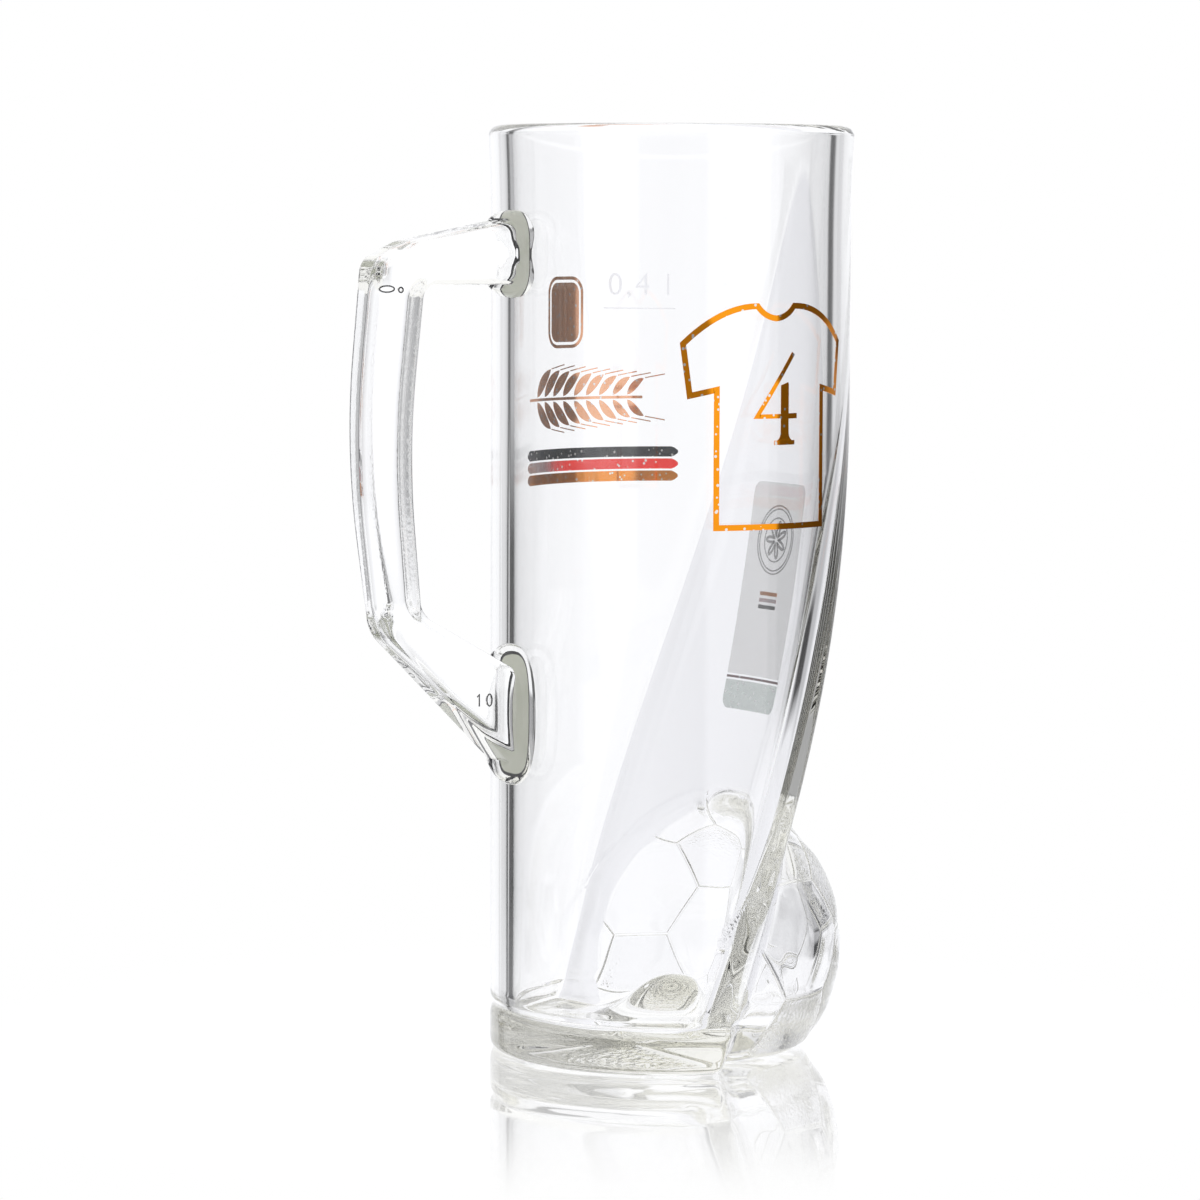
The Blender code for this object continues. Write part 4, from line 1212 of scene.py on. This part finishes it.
@dataclass
class ShirtPrint:
    """Gold line drawing of a plain sports shirt with a figure on it, on the near side."""

    ground: Ground
    azimuth: float = -88.5
    hem: float = 111.3 * MM
    height: float = 44.4 * MM
    span: float = 40.2 * MM
    body: float = 26.4 * MM
    neck: float = 9.0 * MM
    line: float = 1.2 * MM

    def outline(self) -> Array:
        """Middle of the drawn line: hem, side, sleeve, curved shoulder, shallow neck, and back."""
        side, tip, neck, top = self.body / 2, self.span / 2, self.neck / 2, self.height
        right = [(side, 0.0), (side, top * 0.624), (tip * 0.93, top * 0.597)]
        right += bent((tip, top * 0.83), (tip * 0.62, top * 1.0), (neck, top * 0.998))
        right += bent((neck, top * 0.998), (neck * 0.62, top * 0.947), (0.0, top * 0.942), 8)
        left = [(-x, z) for x, z in reversed(right[1:])] + [(-side, 0.0)]
        return straight(right + [(0.0, top * 0.942)] + left, closed=True)

    def figure(self, lay: Lay) -> tuple[Array, list]:
        """The figure four: slant and bar in one thin stroke, a broad stem, and a foot."""
        thin, stem = 0.45 * MM, 1.0 * MM
        left, right, low, bar, high = -4.5 * MM, 5.4 * MM, 16.4 * MM, 22.2 * MM, 34.8 * MM
        stem_x = 2.2 * MM
        slant = straight([(right - 1.0 * MM, high), (left, bar), (stem_x - stem, bar)])
        spur = straight([(stem_x + stem, bar), (right, bar)])
        upright = straight([(stem_x, low + 0.9 * MM), (stem_x, bar + 6.2 * MM)], step=0.3 * MM)
        upright = np.concatenate([upright, [[stem_x - 0.1 * MM, bar + 6.5 * MM]]])
        taper = stem + 0.9 * MM * np.exp(-(upright[:, 1] - upright[0, 1]) / (0.5 * MM))
        foot = straight([(stem_x - 2.6 * MM, low + 0.45 * MM), (stem_x + 2.6 * MM, low + 0.45 * MM)])
        strokes = [(slant, thin), (spur, thin * 1.2), (upright, taper), (foot, 0.45 * MM)]
        return joined([self.ground.ribbon(path, half, lay) for path, half in strokes])

    def build(self, lustre: bpy.types.Material) -> None:
        """Make the outline and the figure."""
        lay = self.ground.on_wall(self.azimuth, self.hem)
        shirt = add_piece("shirt_outline", *self.ground.ribbon(self.outline(), self.line / 2, lay, True), lustre)
        figure = add_piece("shirt_figure", *self.figure(lay), lustre)
        for piece, node in ((shirt, "shirt_outline_print"), (figure, "shirt_number_print")):
            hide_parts(node)


@dataclass
class FarPrints:
    """Prints of the far side: a badge, an ear of barley and three stripes."""

    ground: Ground
    badge_azimuth: float = 100.0
    badge_level: float = 152.8 * MM
    badge_width: float = 12.0 * MM
    badge_height: float = 15.2 * MM
    badge_corner: float = 3.5 * MM
    frame_line: float = 0.7 * MM
    frame_margin: float = 0.6 * MM
    ear_azimuth: float = 90.0
    ear_level: float = 134.5 * MM
    ear_length: float = 44.0 * MM
    ear_share: float = 0.74
    ear_start: float = 0.4
    grains: int = 9
    grain_back: float = 6.2 * MM
    grain_rise: float = 6.3 * MM
    grain_root: float = 0.55 * MM
    grain_bow: float = 0.5 * MM
    grain_half: float = 1.25 * MM
    grain_taper: float = 0.045
    beard_start: tuple = (-0.3 * MM, 0.1 * MM)
    beard_end: tuple = (-5.0 * MM, 0.9 * MM)
    beard_half: float = 0.12 * MM
    stem_half: float = 0.3 * MM
    stripe_level: float = 116.5 * MM
    stripe_length: float = 47.0 * MM
    stripe_height: float = 2.2 * MM
    stripe_gap: float = 0.4 * MM
    stripe_end: float = 1.2 * MM
    stripe_end_share: float = 0.25

    def badge(self, copper: bpy.types.Material) -> None:
        """A framed badge: a closed line, and a field inside it with round corners."""
        lay = self.ground.on_wall(self.badge_azimuth, self.badge_level)
        half = self.frame_line / 2
        line = box_line(self.badge_width - 2 * half, self.badge_height - 2 * half, self.badge_corner - half)
        frame = add_piece("badge_frame", *self.ground.ribbon(line, half, lay, True), copper)
        inset = self.frame_line + self.frame_margin
        width, height = self.badge_width - 2 * inset, self.badge_height - 2 * inset
        edges = box_edges(width, height, self.badge_corner - inset)
        low = self.ground.on_wall(self.badge_azimuth, self.badge_level - height / 2)
        field = add_piece("badge_field", *self.ground.field(edges, height, low), copper)
        for piece, node in ((frame, "badge_frame_print"), (field, "badge_field_print")):
            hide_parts(node)

    def barley(self, copper: bpy.types.Material) -> None:
        """An ear of barley lying along the wall: pairs of grains on a stem, each with its beard."""
        lay = self.ground.on_wall(self.ear_azimuth, self.ear_level)
        share = np.linspace(0.0, 1.0, 15)
        belly = np.sin(math.pi * share ** 0.8) ** 0.8 + 0.02
        parts = []
        step = self.ear_length * self.ear_share / self.grains
        start = self.ear_length * self.ear_start
        for k, up in itertools.product(range(self.grains), (1.0, -1.0)):
            x, size, side = start - k * step, 1.0 - self.grain_taper * k, np.array([1.0, up])
            tip = np.array([x - self.grain_back * size, up * self.grain_rise * size])
            root = np.array([x, up * self.grain_root])
            bow = np.array([0.0, up * self.grain_bow])
            path = root + (tip - root) * share[:, None] + bow * np.sin(math.pi * share)[:, None]
            parts.append(self.ground.ribbon(path, self.grain_half * size * belly, lay))
            beard = straight([tuple(tip + side * self.beard_start), tuple(tip + side * self.beard_end)])
            parts.append(self.ground.ribbon(beard, self.beard_half, lay))
        stem = straight([(self.ear_length / 2, 0.0), (start - self.grains * step, 0.0)])
        parts.append(self.ground.ribbon(stem, self.stem_half, lay))
        piece = add_piece("barley_ear", *joined(parts), copper)
        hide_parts("barley_print")

    def stripes(self, finishes: dict[str, bpy.types.Material]) -> None:
        """Three straight stripes one over another, each drawn in at its ends."""
        half, share = self.stripe_height / 2, np.linspace(0.0, 1.0, 61)
        path = np.stack([self.stripe_length * (share - 0.5), np.full_like(share, half)], axis=1)
        ends = np.minimum(share, 1 - share) * self.stripe_length / self.stripe_end
        halves = half * np.clip(self.stripe_end_share + (1.0 - self.stripe_end_share) * ends, 0.0, 1.0)
        for k, (name, material) in enumerate(finishes.items()):
            lay = self.ground.on_wall(self.ear_azimuth, self.stripe_level + k * (self.stripe_height + self.stripe_gap))
            piece = add_piece(f"stripe_{name}", *self.ground.ribbon(path, halves, lay), material)
            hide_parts(f"stripe_{name}_print")


@dataclass
class PanelLabel:
    """Pale label on the front panel: ground with a plain rosette, a thin rule and a band at its foot."""

    ground: Ground
    level: float = 69.0 * MM
    width: float = 21.6 * MM
    height: float = 48.0 * MM
    corner: float = 2.2 * MM
    band: float = 6.0 * MM
    rule: float = 0.5 * MM
    gap: float = 0.4 * MM
    rosette_rise: float = 36.0 * MM
    rosette_rings: tuple = (7.2 * MM, 6.5 * MM, 4.6 * MM)
    rosette_reach: float = 3.9 * MM
    petals: int = 7
    petal_swing: float = 0.38
    ring_half: float = 0.16 * MM
    petal_half: float = 0.3 * MM
    bar_rises: tuple = (24.6 * MM, 23.2 * MM, 21.8 * MM)
    bar_length: float = 7.0 * MM
    bar_height: float = 0.8 * MM

    def ornament(self, dark: bpy.types.Material, bars: list[tuple[str, bpy.types.Material]]) -> None:
        """Three rings about a rosette, whose radius swings with a cosine, over three short bars.

        Args:
            dark: Finish of the rosette.
            bars: Slot and finish of each bar, from the top.
        """
        lay = self.ground.on_panel(self.level)
        turn = np.linspace(0.0, 2.0 * math.pi, 140, endpoint=False)
        circle = np.stack([np.cos(turn), np.sin(turn)], axis=1)
        middle = np.array([0.0, self.rosette_rise])
        swing = self.petal_swing
        petal = self.rosette_reach * (1.0 - swing + swing * np.cos(self.petals * turn))[:, None]
        shapes = [(size, self.ring_half) for size in self.rosette_rings] + [(petal, self.petal_half)]
        lines = [self.ground.ribbon(middle + circle * size, half, lay, closed=True) for size, half in shapes]
        piece = add_piece("label_rosette", *joined(lines), dark)
        for rise, (slot, finish) in zip(self.bar_rises, bars):
            line = straight([(-self.bar_length / 2, rise), (self.bar_length / 2, rise)])
            piece = add_piece(f"label_bar_{slot}", *self.ground.ribbon(line, self.bar_height / 2, lay), finish)

    def build(self, grey: bpy.types.Material, wine: bpy.types.Material, green: bpy.types.Material) -> None:
        """Make the three fields one over another."""
        rule_low = self.band + self.gap
        ground_low = rule_low + self.rule + self.gap
        fields = [("label_band", 0.0, self.band, True, False, green, "green_enamel"),
                  ("label_rule", rule_low, self.rule, False, False, wine, "wine_enamel"),
                  ("label_ground", ground_low, self.height - ground_low, False, True, grey, "grey_enamel")]
        for name, low, height, round_low, round_high, material, slot in fields:
            lay = self.ground.on_panel(self.level + low)
            edges = box_edges(self.width, height, self.corner, round_low, round_high)
            piece = add_piece(name, *self.ground.field(edges, height, lay), material)
            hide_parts(f"{name}_print")


@dataclass
class MouldMarks:
    """Raised marks of the mould on the handle's near side: an oblong ring, a dot ring and a plain figure."""

    ground: Ground
    face: float = 6.3 * MM
    ring: tuple = (-71.4 * MM, 159.0 * MM, 1.7 * MM, 0.62 * MM)
    dot: tuple = (-68.2 * MM, 158.8 * MM, 0.5 * MM, 0.5 * MM)
    nought: tuple = (-47.6 * MM, 76.0 * MM, 0.6 * MM, 1.2 * MM)
    one: tuple = (-50.0 * MM, 74.8 * MM, 0.5 * MM, 2.4 * MM)
    flag_share: float = 0.8
    line: float = 0.3 * MM

    def build(self, finish: GlassFinish) -> None:
        """Lay the marks on the side as narrow ridges of glass.

        Args:
            finish: Their glass, made dark by dense absorption as painted shade.
        """
        def lay(along: Array, up: Array, lift: float) -> Array:
            """Flat on the handle's near side."""
            side = np.full_like(along, -self.face - lift)
            return np.stack([self.ground.vessel.axis_x + along, side, up], axis=-1)

        turn = np.linspace(0.0, 2.0 * math.pi, 48, endpoint=False)
        ridges = []
        for x, z, wide, tall in (self.ring, self.dot, self.nought):
            loop = np.stack([x + wide * np.cos(turn), z + tall * np.sin(turn)], axis=1)
            ridges.append(self.ground.ribbon(loop, self.line / 2, lay, closed=True))
        x, z, flag, tall = self.one
        stem = straight([(x - flag, z + self.flag_share * tall), (x, z + tall), (x, z)])
        ridges.append(self.ground.ribbon(stem, self.line / 2, lay))
        piece = add_piece("mould_marks", *joined(ridges), finish.material())


@dataclass
class FillMark:
    """Frosted capacity mark on the near wall: a level line with its figure over it."""

    ground: Ground
    azimuth: float = -133.0
    level: float = 155.2 * MM
    length: float = 14.5 * MM
    line: float = 0.25 * MM
    figure: str = "0,4 l"
    figure_height: float = 4.6 * MM
    figure_rise: float = 2.6 * MM
    type_scale: float = 1.4
    type_space: float = 1.15
    type_thinning: float = 0.08 * MM

    def lettering(self, lay: Lay) -> tuple[Array, list]:
        """The figure from Blender's own typeface, laid on the wall as a thin shell."""
        curve = bpy.data.curves.new("fill figure", "FONT")
        curve.body = self.figure
        curve.align_x = "CENTER"
        curve.size = self.figure_height * self.type_scale
        curve.space_character = self.type_space
        curve.extrude = 0.5
        curve.offset = -self.type_thinning
        text = bpy.data.objects.new("fill figure", curve)
        bpy.context.scene.collection.objects.link(text)
        mesh = text.to_mesh()
        flat = np.empty(len(mesh.vertices) * 3)
        mesh.vertices.foreach_get("co", flat)
        faces = [list(polygon.vertices) for polygon in mesh.polygons]
        along, up, side = flat.reshape(-1, 3).T
        up = up + self.figure_rise
        points = np.where(side[:, None] > 0.0, lay(along, up, self.ground.coat), lay(along, up, 0.0))
        text.to_mesh_clear()
        bpy.data.objects.remove(text)
        return points, faces

    def build(self, frost: bpy.types.Material) -> None:
        """Make the mark."""
        lay = self.ground.on_wall(self.azimuth, self.level)
        line = straight([(-self.length / 2, 0.0), (self.length / 2, 0.0)])
        mark = joined([self.ground.ribbon(line, self.line / 2, lay), self.lettering(lay)])
        piece = add_piece("fill_mark", *mark, frost)


@dataclass
class Studio:
    """Pale floor, soft light and the photograph's camera."""

    axis_x: float
    azimuth: float = -33.27
    distance: float = 972.0 * MM
    camera_height: float = 178.0 * MM
    pitch: float = 4.96
    yaw: float = 0.85
    roll: float = 0.2
    lens: float = 140.6
    sensor: float = 36.0
    bounces: int = 32
    room_light: float = 1.1
    even_light: float = 0.75
    wall_tone: Colour = (0.97, 0.975, 1.0)
    ceiling: Colour = (0.9, 0.9, 0.885)
    lower_rise: tuple = (-0.18, -0.148)
    upper_rise: tuple = (-0.075, -0.045)
    ceiling_rise: tuple = (0.2, 0.35)
    floor_half: float = 0.62
    floor_drop: float = 0.2 * MM
    floor_tone: Colour = (0.95, 0.95, 0.955)
    mirror: float = 0.6
    mirror_span: tuple = (45.0 * MM, 150.0 * MM)
    lamp_distance: float = 1.6
    lamp_aim: float = 0.1
    lamps: tuple = (("side softbox", -85.0, 25.0, 0.9, 12.0), ("overhead softbox", 60.0, 70.0, 1.2, 10.0))
    table_ring: tuple = ((-180, 0.92), (-20, 0.92), (5, 0.96), (30, 1.0), (66, 1.0), (80, 0.96), (94, 0.85), (96, 0.1),
                         (104, 0.1), (107, 0.88))
    lower_ring: tuple = ((-180, 0.55), (-140, 0.5), (-126, 0.38), (-100, 0.38), (-97, 1.0), (-52, 1.0), (-50, 0.16),
                         (-10, 0.06), (10, 0.06), (17, 0.55), (32, 0.6), (40, 0.85), (47, 1.0), (68, 1.0), (80, 0.9),
                         (92, 0.72), (94.5, 0.55), (95.5, 0.02), (97, 0.02), (97.6, 0.7), (99.2, 0.7), (99.8, 0.02),
                         (107, 0.02), (110, 0.3), (130, 0.3), (160, 0.5))
    upper_ring: tuple = ((-180, 0.55), (-140, 0.5), (-126, 0.38), (-100, 0.38), (-97, 1.0), (-52, 1.0), (-50, 0.16),
                         (-10, 0.16), (-2, 0.45), (8, 0.5), (10, 0.04), (15, 0.05), (18, 0.65), (33, 0.8), (46, 0.95),
                         (48, 1.0), (68, 1.0), (80, 0.95), (92, 0.72), (95.5, 0.5), (96.5, 0.03), (99, 0.03),
                         (101, 0.4), (130, 0.4))

    def camera(self) -> None:
        """Place the camera: out along its azimuth, turned a little off the mug's axis."""
        turn = math.radians(self.azimuth)
        data = bpy.data.cameras.new("photograph view")
        data.lens, data.sensor_width, data.sensor_fit = self.lens, self.sensor, "HORIZONTAL"
        camera = bpy.data.objects.new("photograph view", data)
        bpy.context.scene.collection.objects.link(camera)
        place = Vector((self.axis_x + math.sin(turn) * self.distance, -math.cos(turn) * self.distance,
                        self.camera_height))
        look = Matrix.Rotation(turn + math.radians(self.yaw), 4, "Z")
        look = look @ Matrix.Rotation(math.radians(90.0 - self.pitch), 4, "X")
        look = look @ Matrix.Rotation(math.radians(self.roll), 4, "Z")
        camera.matrix_world = Matrix.Translation(place) @ look
        bpy.context.scene.camera = camera

    def world(self) -> None:
        """Light all round: even for matt surfaces, a ring of bright and dim studio walls in the glass."""
        world = bpy.data.worlds.new("studio")
        world.use_nodes = True
        bpy.context.scene.world = world
        nodes = Nodes(world.node_tree)
        world.node_tree.nodes.clear()
        heading = nodes.add("SeparateXYZ", {"Vector": nodes.add("TexCoord").outputs["Generated"]})
        turn = nodes.math("ARCTAN2", heading.outputs["Y"], heading.outputs["X"])
        share = nodes.math("MULTIPLY_ADD", turn, 1.0 / (2.0 * math.pi), 0.5)
        rise = heading.outputs["Z"]
        walls = self._ring(nodes, share, self.table_ring)
        bands = ((self.lower_rise, self._ring(nodes, share, self.lower_ring)),
                 (self.upper_rise, self._ring(nodes, share, self.upper_ring)),
                 (self.ceiling_rise, (*self.ceiling, 1.0)))
        for (low, high), band in bands:
            above = nodes.add("MapRange", {"Value": rise, "From Min": low, "From Max": high}).outputs["Result"]
            walls = nodes.mix(above, walls, band)
        path = nodes.add("LightPath")
        seen = nodes.math("MAXIMUM", path.outputs["Is Glossy Ray"], path.outputs["Is Transmission Ray"])
        room = nodes.add("Background", {"Color": walls, "Strength": self.room_light})
        even = nodes.add("Background", {"Color": WHITE, "Strength": self.even_light})
        white = nodes.add("Background", {"Color": WHITE, "Strength": 1.0})
        lit = nodes.add("MixShader", {0: seen, 1: even.outputs[0], 2: room.outputs[0]})
        backdrop = nodes.add("MixShader", {0: path.outputs["Is Camera Ray"], 1: lit.outputs[0], 2: white.outputs[0]})
        nodes.add("OutputWorld", {"Surface": backdrop.outputs[0]})

    def _ring(self, nodes: Nodes, share: bpy.types.NodeSocket, stops: tuple) -> bpy.types.NodeSocket:
        """A ring of studio walls: brightness by heading in degrees, a little cool."""
        ramp = nodes.add("ValToRGB", {"Fac": share})
        elements = ramp.color_ramp.elements
        while len(elements) < len(stops):
            elements.new(0.5)
        for element, (angle, value) in zip(elements, stops):
            element.position = (angle + 180.0) / 360.0
            element.color = (*(value * tone for tone in self.wall_tone), 1.0)
        return ramp.outputs["Color"]

    def floor(self) -> None:
        """A white floor that mirrors the mug near its foot, less and less further out, and is unseen in the glass."""
        half = self.floor_half
        mesh = bpy.data.meshes.new("floor")
        mesh.from_pydata([(-half, -half, 0), (half, -half, 0), (half, half, 0), (-half, half, 0)], [], [(0, 1, 2, 3)])
        floor = bpy.data.objects.new("floor", mesh)
        floor.location.z = -self.floor_drop
        bpy.context.scene.collection.objects.link(floor)
        made, nodes, _ = principled("pale floor", {"Base Color": (*self.floor_tone, 1.0), "Roughness": 0.05})
        shader = made.node_tree.nodes["Principled BSDF"]
        path = nodes.add("LightPath")
        bent_light = nodes.math("MAXIMUM", path.outputs["Is Glossy Ray"], path.outputs["Is Transmission Ray"])
        clear = nodes.add("BsdfTransparent")
        unseen = nodes.add("MixShader", {0: bent_light, 1: shader.outputs[0], 2: clear.outputs[0]})
        spot = nodes.add("VectorMath", {0: nodes.add("TexCoord").outputs["Object"]}, operation="LENGTH")
        near, far = self.mirror_span
        share = nodes.add("MapRange", {"Value": spot.outputs["Value"], "From Min": near, "From Max": far,
                                       "To Min": self.mirror, "To Max": 0.0}, interpolation_type="SMOOTHSTEP")
        glow = nodes.add("Emission", {"Color": WHITE, "Strength": 1.0})
        gloss = nodes.add("BsdfGlossy", {"Color": WHITE, "Roughness": 0.02})
        shown = nodes.add("MixShader", {0: share.outputs["Result"], 1: glow.outputs[0], 2: gloss.outputs[0]})
        ends = nodes.add("MixShader", {0: path.outputs["Is Camera Ray"], 1: unseen.outputs[0], 2: shown.outputs[0]})
        nodes.link(ends.outputs[0], made.node_tree.nodes["Material Output"].inputs["Surface"])
        mesh.materials.append(made)

    def lamp(self, name: str, heading: float, rise: float, size: float, power: float) -> None:
        """A square soft light that looks at the mug from a heading and a rise, unseen in the glass.

        Args:
            name: Its name.
            heading: Direction it stands in, in degrees.
            rise: Angle it stands up at, in degrees.
            size: Its side.
            power: Its power in watts.
        """
        data = bpy.data.lights.new(name, "AREA")
        data.size, data.energy = size, power
        lamp = bpy.data.objects.new(name, data)
        bpy.context.scene.collection.objects.link(lamp)
        turn, lift = math.radians(heading), math.radians(rise)
        aim = Vector((math.cos(turn) * math.cos(lift), math.sin(turn) * math.cos(lift), math.sin(lift)))
        lamp.location = Vector((self.axis_x, 0.0, self.lamp_aim)) + aim * self.lamp_distance
        lamp.rotation_euler = aim.to_track_quat("Z", "Y").to_euler()
        lamp.visible_glossy = lamp.visible_transmission = False

    def build(self) -> None:
        """Set up the whole studio, with light paths long enough for thick glass."""
        bpy.context.scene.view_settings.view_transform = "Standard"
        paths = bpy.context.scene.cycles
        paths.max_bounces = paths.transmission_bounces = paths.glossy_bounces = self.bounces
        self.camera()
        self.world()
        self.floor()
        for lamp in self.lamps:
            self.lamp(*lamp)


PRINT_FINISHES = (
    PrintFinish("gold_lustre", (0.95, 0.36, 0.015), (0.86, 0.27, 0.01), Coat.LUSTRE, 0.08),
    PrintFinish("copper_lustre", (0.97, 0.53, 0.31), (0.88, 0.44, 0.24), Coat.LUSTRE, 0.08),
    PrintFinish("dark_enamel", (0.006, 0.013, 0.02), (0.01, 0.018, 0.026), Coat.ENAMEL, 0.3),
    PrintFinish("red_enamel", (0.92, 0.02, 0.01), (0.84, 0.015, 0.008), Coat.ENAMEL, 0.2, translucence=0.92),
    PrintFinish("grey_enamel", (0.9, 0.89, 0.82), (0.84, 0.83, 0.76), Coat.ENAMEL, 0.45, cover=0.22),
    PrintFinish("wine_enamel", (0.26, 0.025, 0.03), (0.2, 0.02, 0.02), Coat.ENAMEL, 0.45, cover=0.75),
    PrintFinish("green_enamel", (0.52, 0.76, 0.62), (0.46, 0.7, 0.56), Coat.ENAMEL, 0.45, cover=0.32),
    PrintFinish("dark_enamel_thin", (0.1, 0.11, 0.12), (0.14, 0.15, 0.16), Coat.ENAMEL, 0.4, cover=0.45),
)


def main() -> None:
    """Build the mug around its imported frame, then the studio."""
    logging.basicConfig(level=logging.INFO, format="%(name)s: %(message)s")
    for item in list(bpy.data.objects):
        bpy.data.objects.remove(item, do_unlink=True)
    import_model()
    low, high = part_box("vessel")
    vessel = Vessel(axis_x=(low.x + high.x) / 2.0, ball=Football())
    handle = Handle(axis_x=vessel.axis_x)
    weld = WeldFinish().material()
    seams = EffectGroups.seams(vessel.ball_middle(), turned(vessel.ball.planes, vessel.front_turn),
                               vessel.ball.seam_reach)
    vessel.build(GlassFinish("clear_glass", seams=seams))
    handle.build(GlassFinish("handle_glass", wave_scale=50.0, ripple=0.00001, stipple=0.00005, stipple_roughness=0.16),
                 weld)
    ground = Ground(vessel)
    coats = {finish.name: finish.material() for finish in PRINT_FINISHES}
    gold, red, dark = coats["gold_lustre"], coats["red_enamel"], coats["dark_enamel"]
    ShirtPrint(ground).build(gold)
    far = FarPrints(ground)
    far.badge(coats["copper_lustre"])
    far.barley(coats["copper_lustre"])
    far.stripes({"gold": gold, "red": red, "dark": dark})
    label = PanelLabel(ground)
    label.build(coats["grey_enamel"], coats["wine_enamel"], coats["green_enamel"])
    label.ornament(coats["dark_enamel_thin"], [("gold_lustre", gold), ("red_enamel", red), ("dark_enamel", dark)])
    # Painted shade: the marks' glass absorbs about seven hundred times more than the vessel's, so the ridges show as
    # dark lines.
    mark_glass = GlassFinish("mark_glass", tint=(0.3, 0.3, 0.28), depth=2800.0, ripple=0.0)
    MouldMarks(Ground(vessel, lift=0.0, coat=0.3 * MM)).build(mark_glass)
    FillMark(ground).build(EtchFinish().material())
    Studio(vessel.axis_x).build()


if __name__ == "__main__":
    main()
